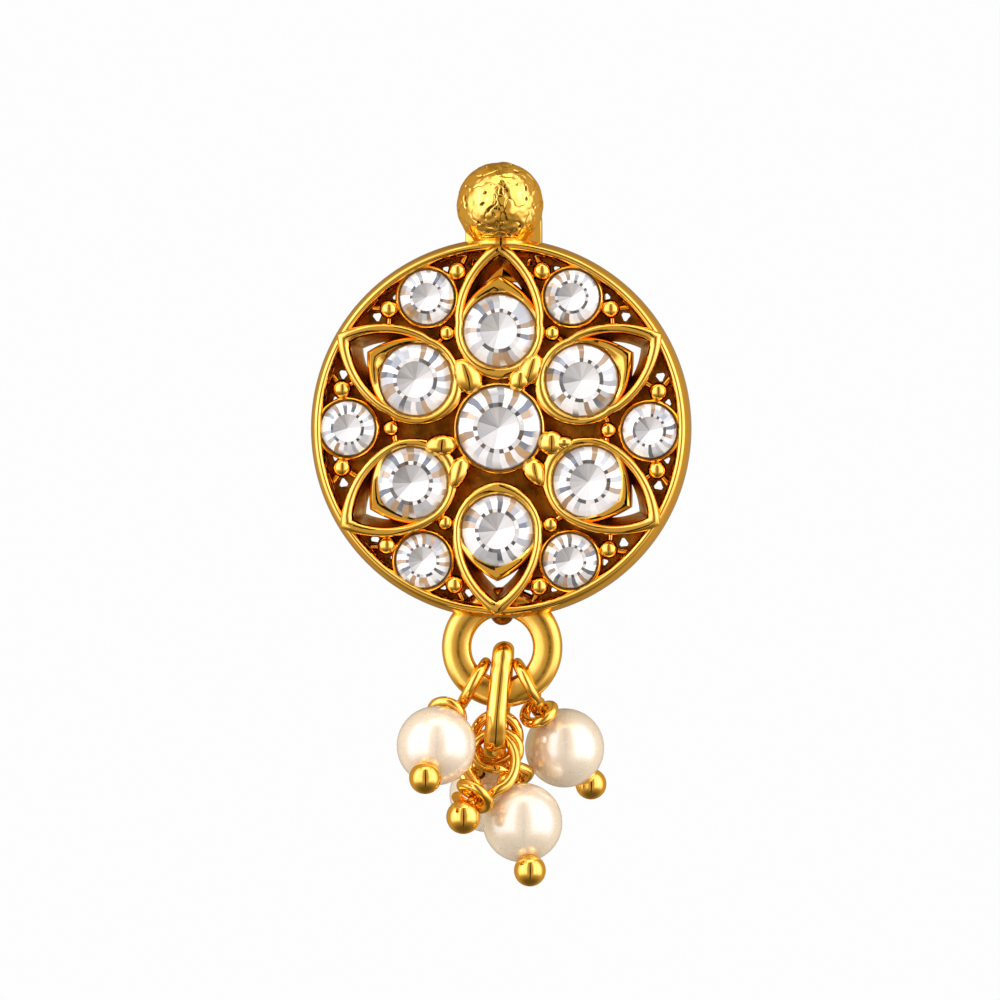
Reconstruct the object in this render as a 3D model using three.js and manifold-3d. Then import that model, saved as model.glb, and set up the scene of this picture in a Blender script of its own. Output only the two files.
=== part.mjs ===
// Nose pin: a round openwork medallion with clear stones, a hammered ball on top
// and five small wire drops below. Millimetres, +Z up, the front faces -Y.
// The origin lies on the post's axis, where the post's foot meets the skin.
import * as THREE from 'three';
import { mergeVertices } from 'three/addons/utils/BufferGeometryUtils.js';
import Module from 'manifold-3d';

const wasm = await Module();
wasm.setup();

// ---- Driving dimensions --------------------------------------------------

const GAP = 0.03; // clearance between neighbouring pieces
const SINK = 0.1; // how far soldered shapes reach into each other
const AHEAD = -3; // in front of every shape, where cutters start

const RIM = { outer: 5.45, inner: 5.05, back: 0.75, segments: 48 };
// The rim's section: how far each corner lies inside its outer radius, and its y.
const RIM_SECTION = [
  [0.4, 0.75], [0.07, 0.75], [0, 0.55], [0, 0.1],
  [0.09, -0.5], [0.19, -0.72], [0.31, -0.72], [0.4, -0.55], [0.4, 0.75],
];
const PLATE = { front: 0.35, back: RIM.back };

const PETAL = { tip: 5.3, side: 3.0, halfWidth: 1.25, wall: 0.21, tipWall: 0.36, front: -0.85 };
const CUP = { tip: 4.34, shoulder: 3.78, fullness: 0.94, wall: 0.14, front: -0.72 };
const LEAF_SEGMENTS = 4; // in each arc of a petal or cup
const BEZEL_WALL = 0.1;

// Shares of a stone's radius, its girdle's height, and where its setting opens.
const STONE = { table: 0.54, crown: 0.29, pavilion: 0.77, open: 0.3, girdle: 0.06, sides: 16 };
const CENTER_STONE = { radius: 1.2, girdleY: -0.74, hole: 0.5 };
const PETAL_STONE = { radius: 1.04, girdleY: -0.66, hole: 0.45 };
const OUTER_STONE = { radius: 0.79, girdleY: -0.56, hole: 0.35 };

// Where each petal stone and outer stone sits: its angle round the medallion
// and its distance from the middle. They were set by hand, a little unevenly.
const PETALS = [
  { angle: 90, reach: 2.78 },
  { angle: 30, reach: 2.72 },
  { angle: -31, reach: 2.98 },
  { angle: -91, reach: 2.93 },
  { angle: 212, reach: 2.96 },
  { angle: 150, reach: 2.76 },
];
const OUTERS = [
  { angle: 61, reach: 4.28 },
  { angle: -1, reach: 4.29 },
  { angle: -62, reach: 4.29 },
  { angle: 240, reach: 4.37 },
  { angle: 180, reach: 4.34 },
  { angle: 119, reach: 4.28 },
];

// Soldered grains. Two flank each outer stone near the rim and
// a smaller one sits inside it; the large ones hold the centre stone.
const GRAIN = { radius: 0.25, reach: 4.65, spread: 14, y: -0.4, postRadius: 0.13 };
const SMALL_GRAIN = { radius: 0.19, reach: 3.1, y: -0.4, postRadius: 0.11 };
const LARGE_GRAINS = [
  { angle: 121, reach: 1.76, turn: 115, length: 0.42, width: 0.27 },
  { angle: 63, reach: 1.76, turn: 63, length: 0.42, width: 0.26 },
  { angle: -13, reach: 1.6, turn: -10, length: 0.33, width: 0.3 },
  { angle: 194, reach: 1.7, turn: 185, length: 0.42, width: 0.27 },
  { angle: 227, reach: 1.73, turn: 262, length: 0.46, width: 0.22 },
  { angle: -52, reach: 1.66, turn: -66, length: 0.37, width: 0.26 },
];
const LARGE_GRAIN = { y: -0.62, height: 0.26, postRadius: 0.14 };

// The three-cornered piercings beyond the grains.
const PIERCING = { radius: 0.16, reach: 4.83, spread: 18.5 };

const BALL = { up: 6.38, y: -0.2, radius: 1.25 };
const COLLAR = { radius: 0.82, bottom: 5.25, top: 5.6 };
const STRAP = { x: 0.05, halfWidth: 1.1, bottom: 4.2, top: 7.0, thickness: 0.4 };

const RING = {
  x: 0.03, y: 0.3, z: -6.27, hole: 0.89, outer: 1.73, depth: 0.6,
  bevel: 0.1, round: 0.24, edge: 0.06, segments: 28,
};
const NUB = { radius: 0.34, z: -5.3 };

const POST = {
  radius: 0.4, length: 6.8, foot: 0.7, footDepth: 0.25,
  spigot: 0.36, spigotDepth: 0.9, end: 0.6,
};

// The link: a closed drop of heavy oval wire, narrow above and wide below.
// halfWidth is across the front, halfDepth in and out of the loop.
const LINK = {
  halfWidth: 0.3, halfDepth: 0.15, top: -6.24, bottom: -9.34,
  topRadius: 0.29, bottomRadius: 0.77, lean: 5, x: -0.06, sides: 12, segments: 40,
};

const WIRE = { radius: 0.17, sides: 6, step: 0.22 };
const PEARL = { hole: WIRE.radius + 0.05, seat: 0.05, around: 16, along: 9 };
const END_BALL = { sink: 0.15, neck: 0.7 }; // shares of its radius
const EYE = { start: -145, sweep: 285, steps: 10 }; // degrees from the eye's top
const WRAP = { pitch: 0.36, steps: 9 };

// Each head pin, in the medallion's frame. pearl is the middle of its pearl and
// ball the direction from there to its end ball. eye is the middle of its eye,
// up the way that the eye stands, across the way that it is wide. The wire wraps
// round itself below the eye, turns times, at the distance wrap from its own axis,
// starting wrapFrom degrees round it. A pin with an arc of its own uses it for EYE.
const PINS = [
  {
    name: 'left', pearlRadius: 1.13, ballRadius: 0.46, turns: 1.1, wrap: 0.45,
    pearl: [-1.77, -1.2, -9.05], ball: [-0.16, -0.8, -0.58],
    eye: [-0.78, 0.3, -7.3], up: [0.5, 0, 0.87], across: [0, 1, 0], along: 0.68, wide: 0.66,
  },
  {
    name: 'right', pearlRadius: 1.14, ballRadius: 0.45, turns: 1, wrap: 0.42,
    pearl: [1.76, 1.63, -9.19], ball: [0.476, 0.533, -0.697],
    eye: [0.785, 0.3, -7.3], up: [-0.47, -0.25, 0.85], across: [0, 1, 0], along: 0.66, wide: 0.63,
  },
  {
    name: 'front', pearlRadius: 1.14, ballRadius: 0.457, turns: 0.8, wrap: 0.4,
    pearl: [0.62, 0.2, -11.29], ball: [0.16, -0.45, -0.88],
    eye: [-0.14, 0.47, -9.23], up: [-0.1, -0.1, 0.99], across: [1, 0, 0], along: 0.54, wide: 0.64,
  },
  {
    name: 'back', pearlRadius: 1.1, ballRadius: 0.45, turns: 0.8, wrap: 0.4,
    pearl: [-0.5, 2.35, -10.55], ball: [0.2, 0.8, -0.56],
    eye: [-0.16, 0.81, -8.87], up: [0.2, -0.3, 0.95], across: [1, 0, 0], along: 0.7, wide: 0.63,
  },
  {
    name: 'gold', pearlRadius: 0, ballRadius: 0.49, turns: 1.3, wrap: 0.467, wrapFrom: 73,
    pearl: [-1.0, -1.18, -11.08], ball: [-0.41, -0.445, -0.8],
    eye: [-0.24, -0.269, -9.57], up: [0.06, 0.348, 0.9], across: [1, 0, 0], along: 0.86, wide: 0.685,
    arc: { start: -110, sweep: 275, steps: 10 },
  },
];

// ---- Finishes ------------------------------------------------------------

const gold = new THREE.MeshStandardMaterial({ color: 0xe2ab3e, roughness: 0.18, metalness: 1 });
const crystal = new THREE.MeshStandardMaterial({ color: 0xf2f2f4, roughness: 0.03, metalness: 0.1 });
const pearl = new THREE.MeshStandardMaterial({ color: 0xf3e7dc, roughness: 0.28, metalness: 0 });

// ---- Small helpers -------------------------------------------------------

const radians = THREE.MathUtils.degToRad;

function solidOf(geometry) {
  const bare = geometry.index ? geometry.toNonIndexed() : geometry.clone();
  bare.deleteAttribute('normal');
  bare.deleteAttribute('uv');
  const merged = mergeVertices(bare, 1e-5);
  const positions = merged.attributes.position.array;
  const source = merged.index.array;
  const corners = [];
  for (let i = 0; i < source.length; i += 3) {
    const [a, b, c] = [source[i], source[i + 1], source[i + 2]];
    if (a !== b && b !== c && c !== a) corners.push(a, b, c);
  }
  if (signedVolume(positions, corners) < 0) corners.reverse();
  const triVerts = new Uint32Array(corners);
  const vertProperties = new Float32Array(positions);
  return new wasm.Manifold(new wasm.Mesh({ numProp: 3, vertProperties, triVerts }));
}

function signedVolume(positions, corners) {
  const [a, b, c] = [new THREE.Vector3(), new THREE.Vector3(), new THREE.Vector3()];
  let sum = 0;
  for (let i = 0; i < corners.length; i += 3) {
    a.fromArray(positions, 3 * corners[i]);
    b.fromArray(positions, 3 * corners[i + 1]);
    c.fromArray(positions, 3 * corners[i + 2]);
    sum += a.dot(b.cross(c));
  }
  return sum;
}

function geometryOf(solid) {
  const mesh = solid.getMesh();
  const geometry = new THREE.BufferGeometry();
  geometry.setAttribute('position', new THREE.BufferAttribute(mesh.vertProperties, 3));
  geometry.setIndex(new THREE.BufferAttribute(mesh.triVerts, 1));
  return geometry;
}

// A point in the medallion's plane from its angle and distance from the middle.
function spot(angle, reach) {
  return { x: reach * Math.cos(radians(angle)), z: reach * Math.sin(radians(angle)) };
}

// Turns a profile of [distance from the axis, y] about the Y axis.
function turned(profile, segments) {
  return new THREE.LatheGeometry(profile.map(([r, y]) => new THREE.Vector2(r, y)), segments);
}

// Gives a flat outline, drawn in X and Z, a depth from front to back along Y.
function deep(shape, front, back, curveSegments) {
  const options = { depth: back - front, bevelEnabled: false, curveSegments };
  const geometry = new THREE.ExtrudeGeometry(shape, options);
  return geometry.rotateX(Math.PI / 2).translate(0, back, 0);
}

// A round bar along Y.
function rod(radius, front, back, sides) {
  return turned([[0, back], [radius, back], [radius, front], [0, front]], sides);
}

function ballAt(radius, x, y, z, around, down) {
  return new THREE.SphereGeometry(radius, around, down).translate(x, y, z);
}

// ---- Stones --------------------------------------------------------------

// A stone's girdle radius, half girdle and pavilion depth, grown by a margin.
function stoneProfile(radius, margin) {
  const wide = radius + margin;
  const back = radius * STONE.pavilion + margin;
  const side = STONE.girdle / 2;
  return { wide, back, side };
}

function stoneGeometry({ radius, girdleY }) {
  const { wide, back, side } = stoneProfile(radius, 0);
  const front = -side - radius * STONE.crown;
  const profile = [[0, back], [wide, side], [wide, -side], [radius * STONE.table, front], [0, front]];
  return turned(profile, STONE.sides).translate(0, girdleY, 0);
}

// The room that a stone takes: its seat, the opening in front of it and the
// open back that lets light into the setting.
function stoneRoom({ radius, girdleY, hole }) {
  const { wide, back, side } = stoneProfile(radius, GAP);
  const seat = [[0, back], [wide, side], [wide, AHEAD], [0, AHEAD]];
  const lamp = rod(radius * hole, girdleY + radius * STONE.open, PLATE.back + SINK, 7);
  return solidOf(turned(seat, STONE.sides).translate(0, girdleY, 0)).add(solidOf(lamp));
}

// ---- Medallion -----------------------------------------------------------

// A leaf: an arc round the stone at its inner end, and two arcs to its tip.
function leafShape(reach, halfWidth, side, tip) {
  const shape = new THREE.Shape();
  const length = tip - side;
  const bow = (length * length + halfWidth * halfWidth) / (2 * halfWidth);
  const sweep = Math.asin(length / bow);
  const back = Math.asin(Math.min(1, (side - reach) / halfWidth));
  shape.moveTo(tip, 0);
  shape.absarc(side, halfWidth - bow, bow, Math.PI / 2 - sweep, Math.PI / 2, false);
  shape.absarc(reach, 0, halfWidth, Math.PI / 2 - back, 1.5 * Math.PI + back, false);
  shape.absarc(side, bow - halfWidth, bow, -Math.PI / 2, sweep - Math.PI / 2, false);
  return shape;
}

function petalWall({ reach }) {
  const { tip, side, halfWidth, front } = PETAL;
  const outer = leafShape(reach, halfWidth, side, tip);
  const block = solidOf(deep(outer, front, PLATE.front + SINK, LEAF_SEGMENTS));
  return block.subtract(petalHole({ reach }));
}

// The inside of a petal, from in front of it to behind the plate.
function petalHole({ reach }) {
  const { tip, side, halfWidth, wall, tipWall } = PETAL;
  const shape = leafShape(reach, halfWidth - wall, side, tip - tipWall);
  return solidOf(deep(shape, AHEAD, PLATE.back + SINK, LEAF_SEGMENTS));
}

// The pointed cup that holds a petal stone.
function cupShape(reach) {
  const { tip, shoulder, fullness, wall } = CUP;
  const radius = PETAL_STONE.radius + wall;
  const shape = new THREE.Shape();
  shape.moveTo(tip, 0);
  shape.quadraticCurveTo(shoulder, radius * fullness, reach, radius);
  shape.absarc(reach, 0, radius, Math.PI / 2, 1.5 * Math.PI, false);
  shape.quadraticCurveTo(shoulder, -radius * fullness, tip, 0);
  return shape;
}

function aimed(solid, angle) {
  return solid.rotate([0, -angle, 0]);
}

function petalSolid(petal) {
  const cup = solidOf(deep(cupShape(petal.reach), CUP.front, PLATE.back, LEAF_SEGMENTS));
  return aimed(petalWall(petal).add(cup), petal.angle);
}

function petalOpening(petal) {
  const cup = deep(cupShape(petal.reach), AHEAD - SINK, PLATE.back + 2 * SINK, LEAF_SEGMENTS);
  return aimed(petalHole(petal).subtract(solidOf(cup)), petal.angle);
}

function bezel({ radius, girdleY }, x, z, sides) {
  const front = girdleY - STONE.girdle;
  const wide = radius + GAP + BEZEL_WALL;
  return solidOf(rod(wide, front, PLATE.front + SINK, sides).translate(x, 0, z));
}

function grain({ radius, y, postRadius }, angle, reach) {
  const { x, z } = spot(angle, reach);
  const bead = solidOf(ballAt(radius, x, y, z, 8, 5));
  return bead.add(solidOf(rod(postRadius, y, PLATE.front + SINK, 4).translate(x, 0, z)));
}

function largeGrain({ angle, reach, turn, length, width }) {
  const { y, height, postRadius } = LARGE_GRAIN;
  const { x, z } = spot(angle, reach);
  const drop = new THREE.SphereGeometry(1, 10, 6).scale(length, height, width);
  const bead = solidOf(drop.rotateY(-radians(turn)).translate(x, y, z));
  return bead.add(solidOf(rod(postRadius, y, PLATE.front + SINK, 5).translate(x, 0, z)));
}

function piercing(angle) {
  const { x, z } = spot(angle, PIERCING.reach);
  const cutter = rod(PIERCING.radius, PLATE.front - SINK, PLATE.back + SINK, 3);
  return solidOf(cutter.rotateY(-radians(angle)).translate(x, 0, z));
}

function rimSolid() {
  const profile = RIM_SECTION.map(([inside, y]) => [RIM.outer - inside, y]);
  return solidOf(turned(profile, RIM.segments));
}

function ringSolid() {
  const { x, y, z, hole, outer, depth, bevel, round, edge, segments } = RING;
  const front = y - depth / 2;
  const back = y + depth / 2;
  const profile = [
    [hole, front + bevel], [hole + bevel, front],
    [outer - round, front], [outer - edge, front + bevel], [outer, y],
    [outer - edge, back - bevel], [outer - round, back],
    [hole + bevel, back], [hole, back - bevel], [hole, front + bevel],
  ];
  return solidOf(turned(profile, segments).translate(x, 0, z));
}

function strapSolid() {
  const { x, halfWidth, bottom, top, thickness } = STRAP;
  const shape = new THREE.Shape();
  shape.moveTo(x - halfWidth, bottom);
  shape.lineTo(x + halfWidth, bottom);
  shape.lineTo(x + halfWidth, top - halfWidth);
  shape.absarc(x, top - halfWidth, halfWidth, 0, Math.PI, false);
  return solidOf(deep(shape, RIM.back - SINK, RIM.back + thickness, 10));
}

function medallionSolid() {
  const plate = rod(RIM.inner + SINK, PLATE.front, PLATE.back, RIM.segments);
  let whole = rimSolid().add(solidOf(plate));
  for (const petal of PETALS) whole = whole.subtract(petalOpening(petal));
  for (const petal of PETALS) whole = whole.add(petalSolid(petal));
  whole = whole.add(bezel(CENTER_STONE, 0, 0, 24));
  for (const { angle, reach } of OUTERS) {
    const { x, z } = spot(angle, reach);
    whole = whole.add(bezel(OUTER_STONE, x, z, 16));
    for (const way of [-1, 1]) {
      whole = whole.add(grain(GRAIN, angle + way * GRAIN.spread, GRAIN.reach));
      whole = whole.subtract(piercing(angle + way * PIERCING.spread));
    }
    whole = whole.add(grain(SMALL_GRAIN, angle, SMALL_GRAIN.reach));
  }
  for (const large of LARGE_GRAINS) whole = whole.add(largeGrain(large));

  const { up, y, radius } = BALL;
  const tall = COLLAR.top - COLLAR.bottom;
  const collar = new THREE.CylinderGeometry(COLLAR.radius, COLLAR.radius, tall, 20);
  collar.rotateX(Math.PI / 2).translate(0, y, COLLAR.bottom + tall / 2);
  whole = whole.add(solidOf(ballAt(radius, 0, y, up, 20, 12)));
  whole = whole.add(solidOf(collar));
  whole = whole.add(strapSolid());
  whole = whole.add(ringSolid());
  whole = whole.add(solidOf(ballAt(NUB.radius, RING.x, RING.y, NUB.z, 10, 6)));

  whole = whole.subtract(stoneRoom(CENTER_STONE));
  for (const { angle, reach } of PETALS) {
    const { x, z } = spot(angle, reach);
    whole = whole.subtract(stoneRoom(PETAL_STONE).translate([x, 0, z]));
  }
  for (const { angle, reach } of OUTERS) {
    const { x, z } = spot(angle, reach);
    whole = whole.subtract(stoneRoom(OUTER_STONE).translate([x, 0, z]));
  }
  const backY = RIM.back + STRAP.thickness;
  const bore = rod(POST.spigot + GAP, backY - POST.spigotDepth - GAP, backY + SINK, 16);
  return whole.subtract(solidOf(bore.translate(0, 0, up))).simplify(0.002);
}

// ---- Post ----------------------------------------------------------------

// One plain turned piece: spigot, foot, shaft and rounded end, from its foot's
// back face at y = 0.
function postGeometry() {
  const { radius, length, foot, footDepth, spigot, spigotDepth, end } = POST;
  const profile = [[0, -footDepth - spigotDepth], [spigot, -footDepth - spigotDepth]];
  profile.push([spigot, -footDepth], [foot, -footDepth], [foot, 0], [radius, 0]);
  const neck = Math.asin(radius / end);
  for (let k = 0; k <= 6; k += 1) {
    const angle = neck + ((Math.PI - neck) * k) / 6;
    profile.push([end * Math.sin(angle), length - end - end * Math.cos(angle)]);
  }
  return turned(profile, 16);
}

// ---- Link ----------------------------------------------------------------

class Route extends THREE.Curve {
  constructor(point) {
    super();
    this.point = point;
  }

  getPoint(t, target = new THREE.Vector3()) {
    return target.copy(this.point(t));
  }
}

// Wire of one radius along a curve, with flat ends.
function wireAlong(curve, radius, step) {
  const shape = new THREE.Shape();
  shape.absarc(0, 0, radius, 0, 2 * Math.PI, false);
  const steps = Math.round(curve.getLength() / step);
  const options = { steps, bevelEnabled: false, extrudePath: curve, curveSegments: WIRE.sides / 2 };
  return new THREE.ExtrudeGeometry(shape, options);
}

// The link's outline in Y and Z: a small arc above, a large one below.
function linkOutline() {
  const { top, bottom, topRadius, bottomRadius } = LINK;
  const high = top - topRadius;
  const low = bottom + bottomRadius;
  const slant = Math.asin((bottomRadius - topRadius) / (high - low));
  const outline = new THREE.Path();
  outline.absarc(0, high, topRadius, slant, Math.PI - slant, false);
  outline.absarc(0, low, bottomRadius, Math.PI - slant, 2 * Math.PI + slant, false);
  outline.closePath();
  return outline;
}

// A ring of wire laid along the outline: each of its rounds takes the outline's
// place and direction there.
function linkGeometry() {
  const { halfWidth, halfDepth, top, bottom, lean, x, sides, segments } = LINK;
  const outline = linkOutline();
  const middle = (top + bottom) / 2;
  const ring = new THREE.TorusGeometry(2, 1, sides, segments);
  const corners = ring.attributes.position;
  for (let i = 0; i < corners.count; i += 1) {
    const [a, b, c] = [corners.getX(i), corners.getY(i), corners.getZ(i)];
    const along = (Math.round((Math.atan2(b, a) / (2 * Math.PI)) * segments) / segments + 1) % 1;
    const flat = outline.getPointAt(along);
    const way = outline.getTangentAt(along);
    const out = (Math.hypot(a, b) - 2) * halfDepth;
    const y = flat.x + way.y * out;
    const z = flat.y - way.x * out;
    const shift = (z - middle) * Math.tan(radians(lean));
    corners.setXYZ(i, x + c * halfWidth + shift, RING.y + y, z);
  }
  return ring;
}

// ---- Head pins and pearls ------------------------------------------------

const vector = (list) => new THREE.Vector3(...list);

// The middle of a pin's end ball.
function ballCentre(pin) {
  const out = (1 - END_BALL.sink) * pin.ballRadius;
  const reach = pin.pearlRadius > 0 ? pin.pearlRadius + out : 0;
  return vector(pin.pearl).addScaledVector(vector(pin.ball).normalize(), reach);
}

// The wire starts in the end ball, runs up through the pearl, makes the eye and
// wraps round itself on its way back down.
function pinCurve(pin) {
  const down = vector(pin.ball).normalize();
  const pearlMiddle = vector(pin.pearl);
  const neck = END_BALL.neck * pin.ballRadius;
  const clear = pin.pearlRadius > 0 ? pin.pearlRadius + PEARL.seat : neck;
  const mouth = pearlMiddle.clone().addScaledVector(down, -clear);

  const eye = vector(pin.eye);
  const stand = vector(pin.up).normalize();
  const across = vector(pin.across);
  across.addScaledVector(stand, -across.dot(stand)).normalize();
  const foot = eye.clone().addScaledVector(stand, -pin.along);

  const axis = down.clone().negate();
  const first = across.clone().addScaledVector(axis, -across.dot(axis)).normalize();
  const second = axis.clone().cross(first);
  const lowest = wrapHeight(pin, clear);
  const wrapTop = mouth.clone().addScaledVector(axis, lowest + WRAP.pitch * pin.turns);

  const points = [ballCentre(pin)];
  if (pin.pearlRadius > 0) points.push(pearlMiddle, pearlMiddle.clone().lerp(mouth, 0.85));
  points.push(mouth, wrapTop);
  if (pin.pearlRadius > 0) points.push(foot); // the gold drop's eye opens straight from its wrap
  const { start, sweep, steps } = pin.arc ?? EYE;
  for (let k = 0; k <= steps; k += 1) {
    const angle = radians(start + (sweep * k) / steps);
    const point = eye.clone().addScaledVector(stand, pin.along * Math.cos(angle));
    points.push(point.addScaledVector(across, pin.wide * Math.sin(angle)));
  }
  const wrapSteps = Math.round(WRAP.steps * pin.turns);
  for (let k = 0; k <= wrapSteps; k += 1) {
    const turn = (pin.turns * k) / wrapSteps;
    const angle = radians((pin.wrapFrom ?? 0) + 360 * turn);
    const point = mouth.clone().addScaledVector(axis, lowest + WRAP.pitch * (pin.turns - turn));
    point.addScaledVector(first, pin.wrap * Math.cos(angle));
    points.push(point.addScaledVector(second, pin.wrap * Math.sin(angle)));
  }
  return new THREE.CatmullRomCurve3(points, false, 'centripetal');
}

// How far above the mouth the wrap's last turn clears the round thing under it.
function wrapHeight({ pearlRadius, ballRadius, wrap }, clear) {
  const distance = (pearlRadius || ballRadius) + WIRE.radius + GAP;
  return Math.sqrt(distance ** 2 - wrap ** 2) - clear;
}

function pinSolid(pin) {
  const wire = solidOf(wireAlong(pinCurve(pin), WIRE.radius, WIRE.step));
  const { x, y, z } = ballCentre(pin);
  return wire.add(solidOf(ballAt(pin.ballRadius, x, y, z, 14, 9)));
}

// A drilled pearl, made about Y and turned to its pin.
function pearlGeometry(pin) {
  const edge = Math.asin(PEARL.hole / pin.pearlRadius);
  const profile = [];
  for (let k = 0; k <= PEARL.along; k += 1) {
    const angle = edge + ((Math.PI - 2 * edge) * k) / PEARL.along;
    profile.push([pin.pearlRadius * Math.sin(angle), pin.pearlRadius * Math.cos(angle)]);
  }
  profile.push(profile[0]);
  const turn = new THREE.Quaternion();
  turn.setFromUnitVectors(new THREE.Vector3(0, -1, 0), vector(pin.ball).normalize());
  return turned(profile, PEARL.around).applyQuaternion(turn).translate(...pin.pearl);
}

// ---- Assembly ------------------------------------------------------------

const noseSeatY = RIM.back + STRAP.thickness + GAP + POST.footDepth;
const ornament = new THREE.Group();
ornament.position.set(0, -noseSeatY, -BALL.up);

function place(name, solid, material) {
  const mesh = new THREE.Mesh(geometryOf(solid), material);
  mesh.name = name;
  ornament.add(mesh);
}

place('medallion', medallionSolid(), gold);
place('stone_center', solidOf(stoneGeometry(CENTER_STONE)), crystal);
PETALS.forEach(({ angle, reach }, index) => {
  const { x, z } = spot(angle, reach);
  place(`stone_petal_${index + 1}`, solidOf(stoneGeometry(PETAL_STONE).translate(x, 0, z)), crystal);
});
OUTERS.forEach(({ angle, reach }, index) => {
  const { x, z } = spot(angle, reach);
  place(`stone_outer_${index + 1}`, solidOf(stoneGeometry(OUTER_STONE).translate(x, 0, z)), crystal);
});
place('nose_post', solidOf(postGeometry().translate(0, noseSeatY, BALL.up)), gold);
place('link', solidOf(linkGeometry()), gold);
for (const pin of PINS) {
  place(`head_pin_${pin.name}`, pinSolid(pin), gold);
  if (pin.pearlRadius > 0) place(`pearl_${pin.name}`, solidOf(pearlGeometry(pin)), pearl);
}

const nosePin = new THREE.Group();
nosePin.add(ornament);

export default nosePin;
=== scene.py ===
"""Finishes a nose pin: a pierced gold medallion with clear stones, a hammered ball
on top, and small pearl drops on a link below."""

import math
import random

import bmesh
import bpy
from bpy.props import FloatProperty, FloatVectorProperty, IntProperty, PointerProperty
from mathutils import Matrix, Vector, noise


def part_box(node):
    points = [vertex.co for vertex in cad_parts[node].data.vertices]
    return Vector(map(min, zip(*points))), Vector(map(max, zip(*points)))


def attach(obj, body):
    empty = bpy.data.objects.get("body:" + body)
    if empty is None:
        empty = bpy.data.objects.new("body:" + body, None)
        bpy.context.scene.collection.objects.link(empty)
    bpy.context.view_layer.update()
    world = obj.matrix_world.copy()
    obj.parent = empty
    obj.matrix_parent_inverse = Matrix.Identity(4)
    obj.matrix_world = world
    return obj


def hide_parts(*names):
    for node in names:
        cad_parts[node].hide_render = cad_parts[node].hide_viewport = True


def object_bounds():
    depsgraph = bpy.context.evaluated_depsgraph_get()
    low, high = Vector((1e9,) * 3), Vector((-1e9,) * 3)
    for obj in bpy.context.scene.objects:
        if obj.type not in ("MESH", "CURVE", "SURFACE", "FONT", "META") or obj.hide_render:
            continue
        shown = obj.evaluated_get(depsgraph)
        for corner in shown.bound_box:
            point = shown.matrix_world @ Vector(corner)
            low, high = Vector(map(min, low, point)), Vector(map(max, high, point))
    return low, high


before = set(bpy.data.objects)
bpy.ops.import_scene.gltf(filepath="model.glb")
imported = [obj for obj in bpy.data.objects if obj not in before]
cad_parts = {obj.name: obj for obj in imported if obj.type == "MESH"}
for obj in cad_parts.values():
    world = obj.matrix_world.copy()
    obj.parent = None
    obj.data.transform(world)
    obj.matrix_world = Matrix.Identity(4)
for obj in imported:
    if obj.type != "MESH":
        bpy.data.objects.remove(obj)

bl_info = {
    "name": "Nose Pin",
    "version": (1, 0, 0),
    "blender": (4, 5, 0),
    "location": "View3D > Sidebar > Nose Pin",
    "description": "Makes the finished pieces of a nose pin over its packed frame",
    "category": "Object",
}

# The bench frame. Everything is modelled in millimetres round the medallion's
# middle, with the front facing -Y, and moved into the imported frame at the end.

MM = 0.001
CAD_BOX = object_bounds()
STRAP_BACK = 1.15  # the strap's back face lies this far behind the middle plane


def box_middle(node):
    """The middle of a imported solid's box, in metres."""
    low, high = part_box(node)
    return (low + high) / 2


MIDDLE = Vector((
    box_middle("stone_center").x,
    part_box("medallion")[1].y - STRAP_BACK * MM,
    box_middle("stone_center").z,
))
TO_FRAME = Matrix.Translation(MIDDLE) @ Matrix.Scale(MM, 4)
PLATE_FRONT, PLATE_BACK = 0.35, 0.75
CUP_BACK, BEZEL_BACK = 0.79, 0.78  # the cups and bezels stand a little proud of the plate
RIM_RADIUS = (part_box("medallion")[1].x - MIDDLE.x) / MM
CROWN_SHARE, SETTING_GAP = 0.29, 0.03  # a crown's height in radii, and a girdle's clearance
BALL_RADIUS = 1.25
BALL_MIDDLE = Vector((0, -0.2, (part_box("medallion")[1].z - MIDDLE.z) / MM - BALL_RADIUS))


class Setting:
    """Where a stone sits: its middle, radius, front and angle round the medallion."""

    def __init__(self, node):
        low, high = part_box(node)
        self.node = node
        self.x = ((low.x + high.x) / 2 - MIDDLE.x) / MM
        self.z = ((low.z + high.z) / 2 - MIDDLE.z) / MM
        self.radius = (high.x - low.x) / 2 / MM
        self.front = (low.y - MIDDLE.y) / MM
        self.girdle = self.front + CROWN_SHARE * self.radius + SETTING_GAP
        self.reach = math.hypot(self.x, self.z)
        self.angle = math.atan2(self.z, self.x)


CENTER = Setting("stone_center")
PETALS = [Setting(f"stone_petal_{k}") for k in range(1, 7)]
OUTERS = [Setting(f"stone_outer_{k}") for k in range(1, 7)]


# ---- Modelling helpers ----


def polar(angle, reach):
    """X and Z of a point from its angle in degrees and its distance from the middle."""
    return reach * math.cos(math.radians(angle)), reach * math.sin(math.radians(angle))


def start_loop(bm, places):
    """A closed loop of edges through the places."""
    verts = [bm.verts.new(place) for place in places]
    for a, b in zip(verts, verts[1:] + verts[:1]):
        bm.edges.new((a, b))
    return verts


def grow(bm, loop, places):
    """Extrudes a closed loop to new places and returns the new loop in order."""
    edges = [bm.edges.get((a, b)) for a, b in zip(loop, loop[1:] + loop[:1])]
    made = bmesh.ops.extrude_edge_only(bm, edges=edges)["geom"]
    fresh = {v for v in made if isinstance(v, bmesh.types.BMVert)}
    after = []
    for vert in loop:
        after.append(next(e.other_vert(vert) for e in vert.link_edges
                          if e.other_vert(vert) in fresh))
    for vert, place in zip(after, places):
        vert.co = place
    return after


def skin(bm, rows):
    """Joins a stack of closed outlines into one skin."""
    loop = start_loop(bm, rows[0])
    for row in rows[1:]:
        loop = grow(bm, loop, row)


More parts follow.
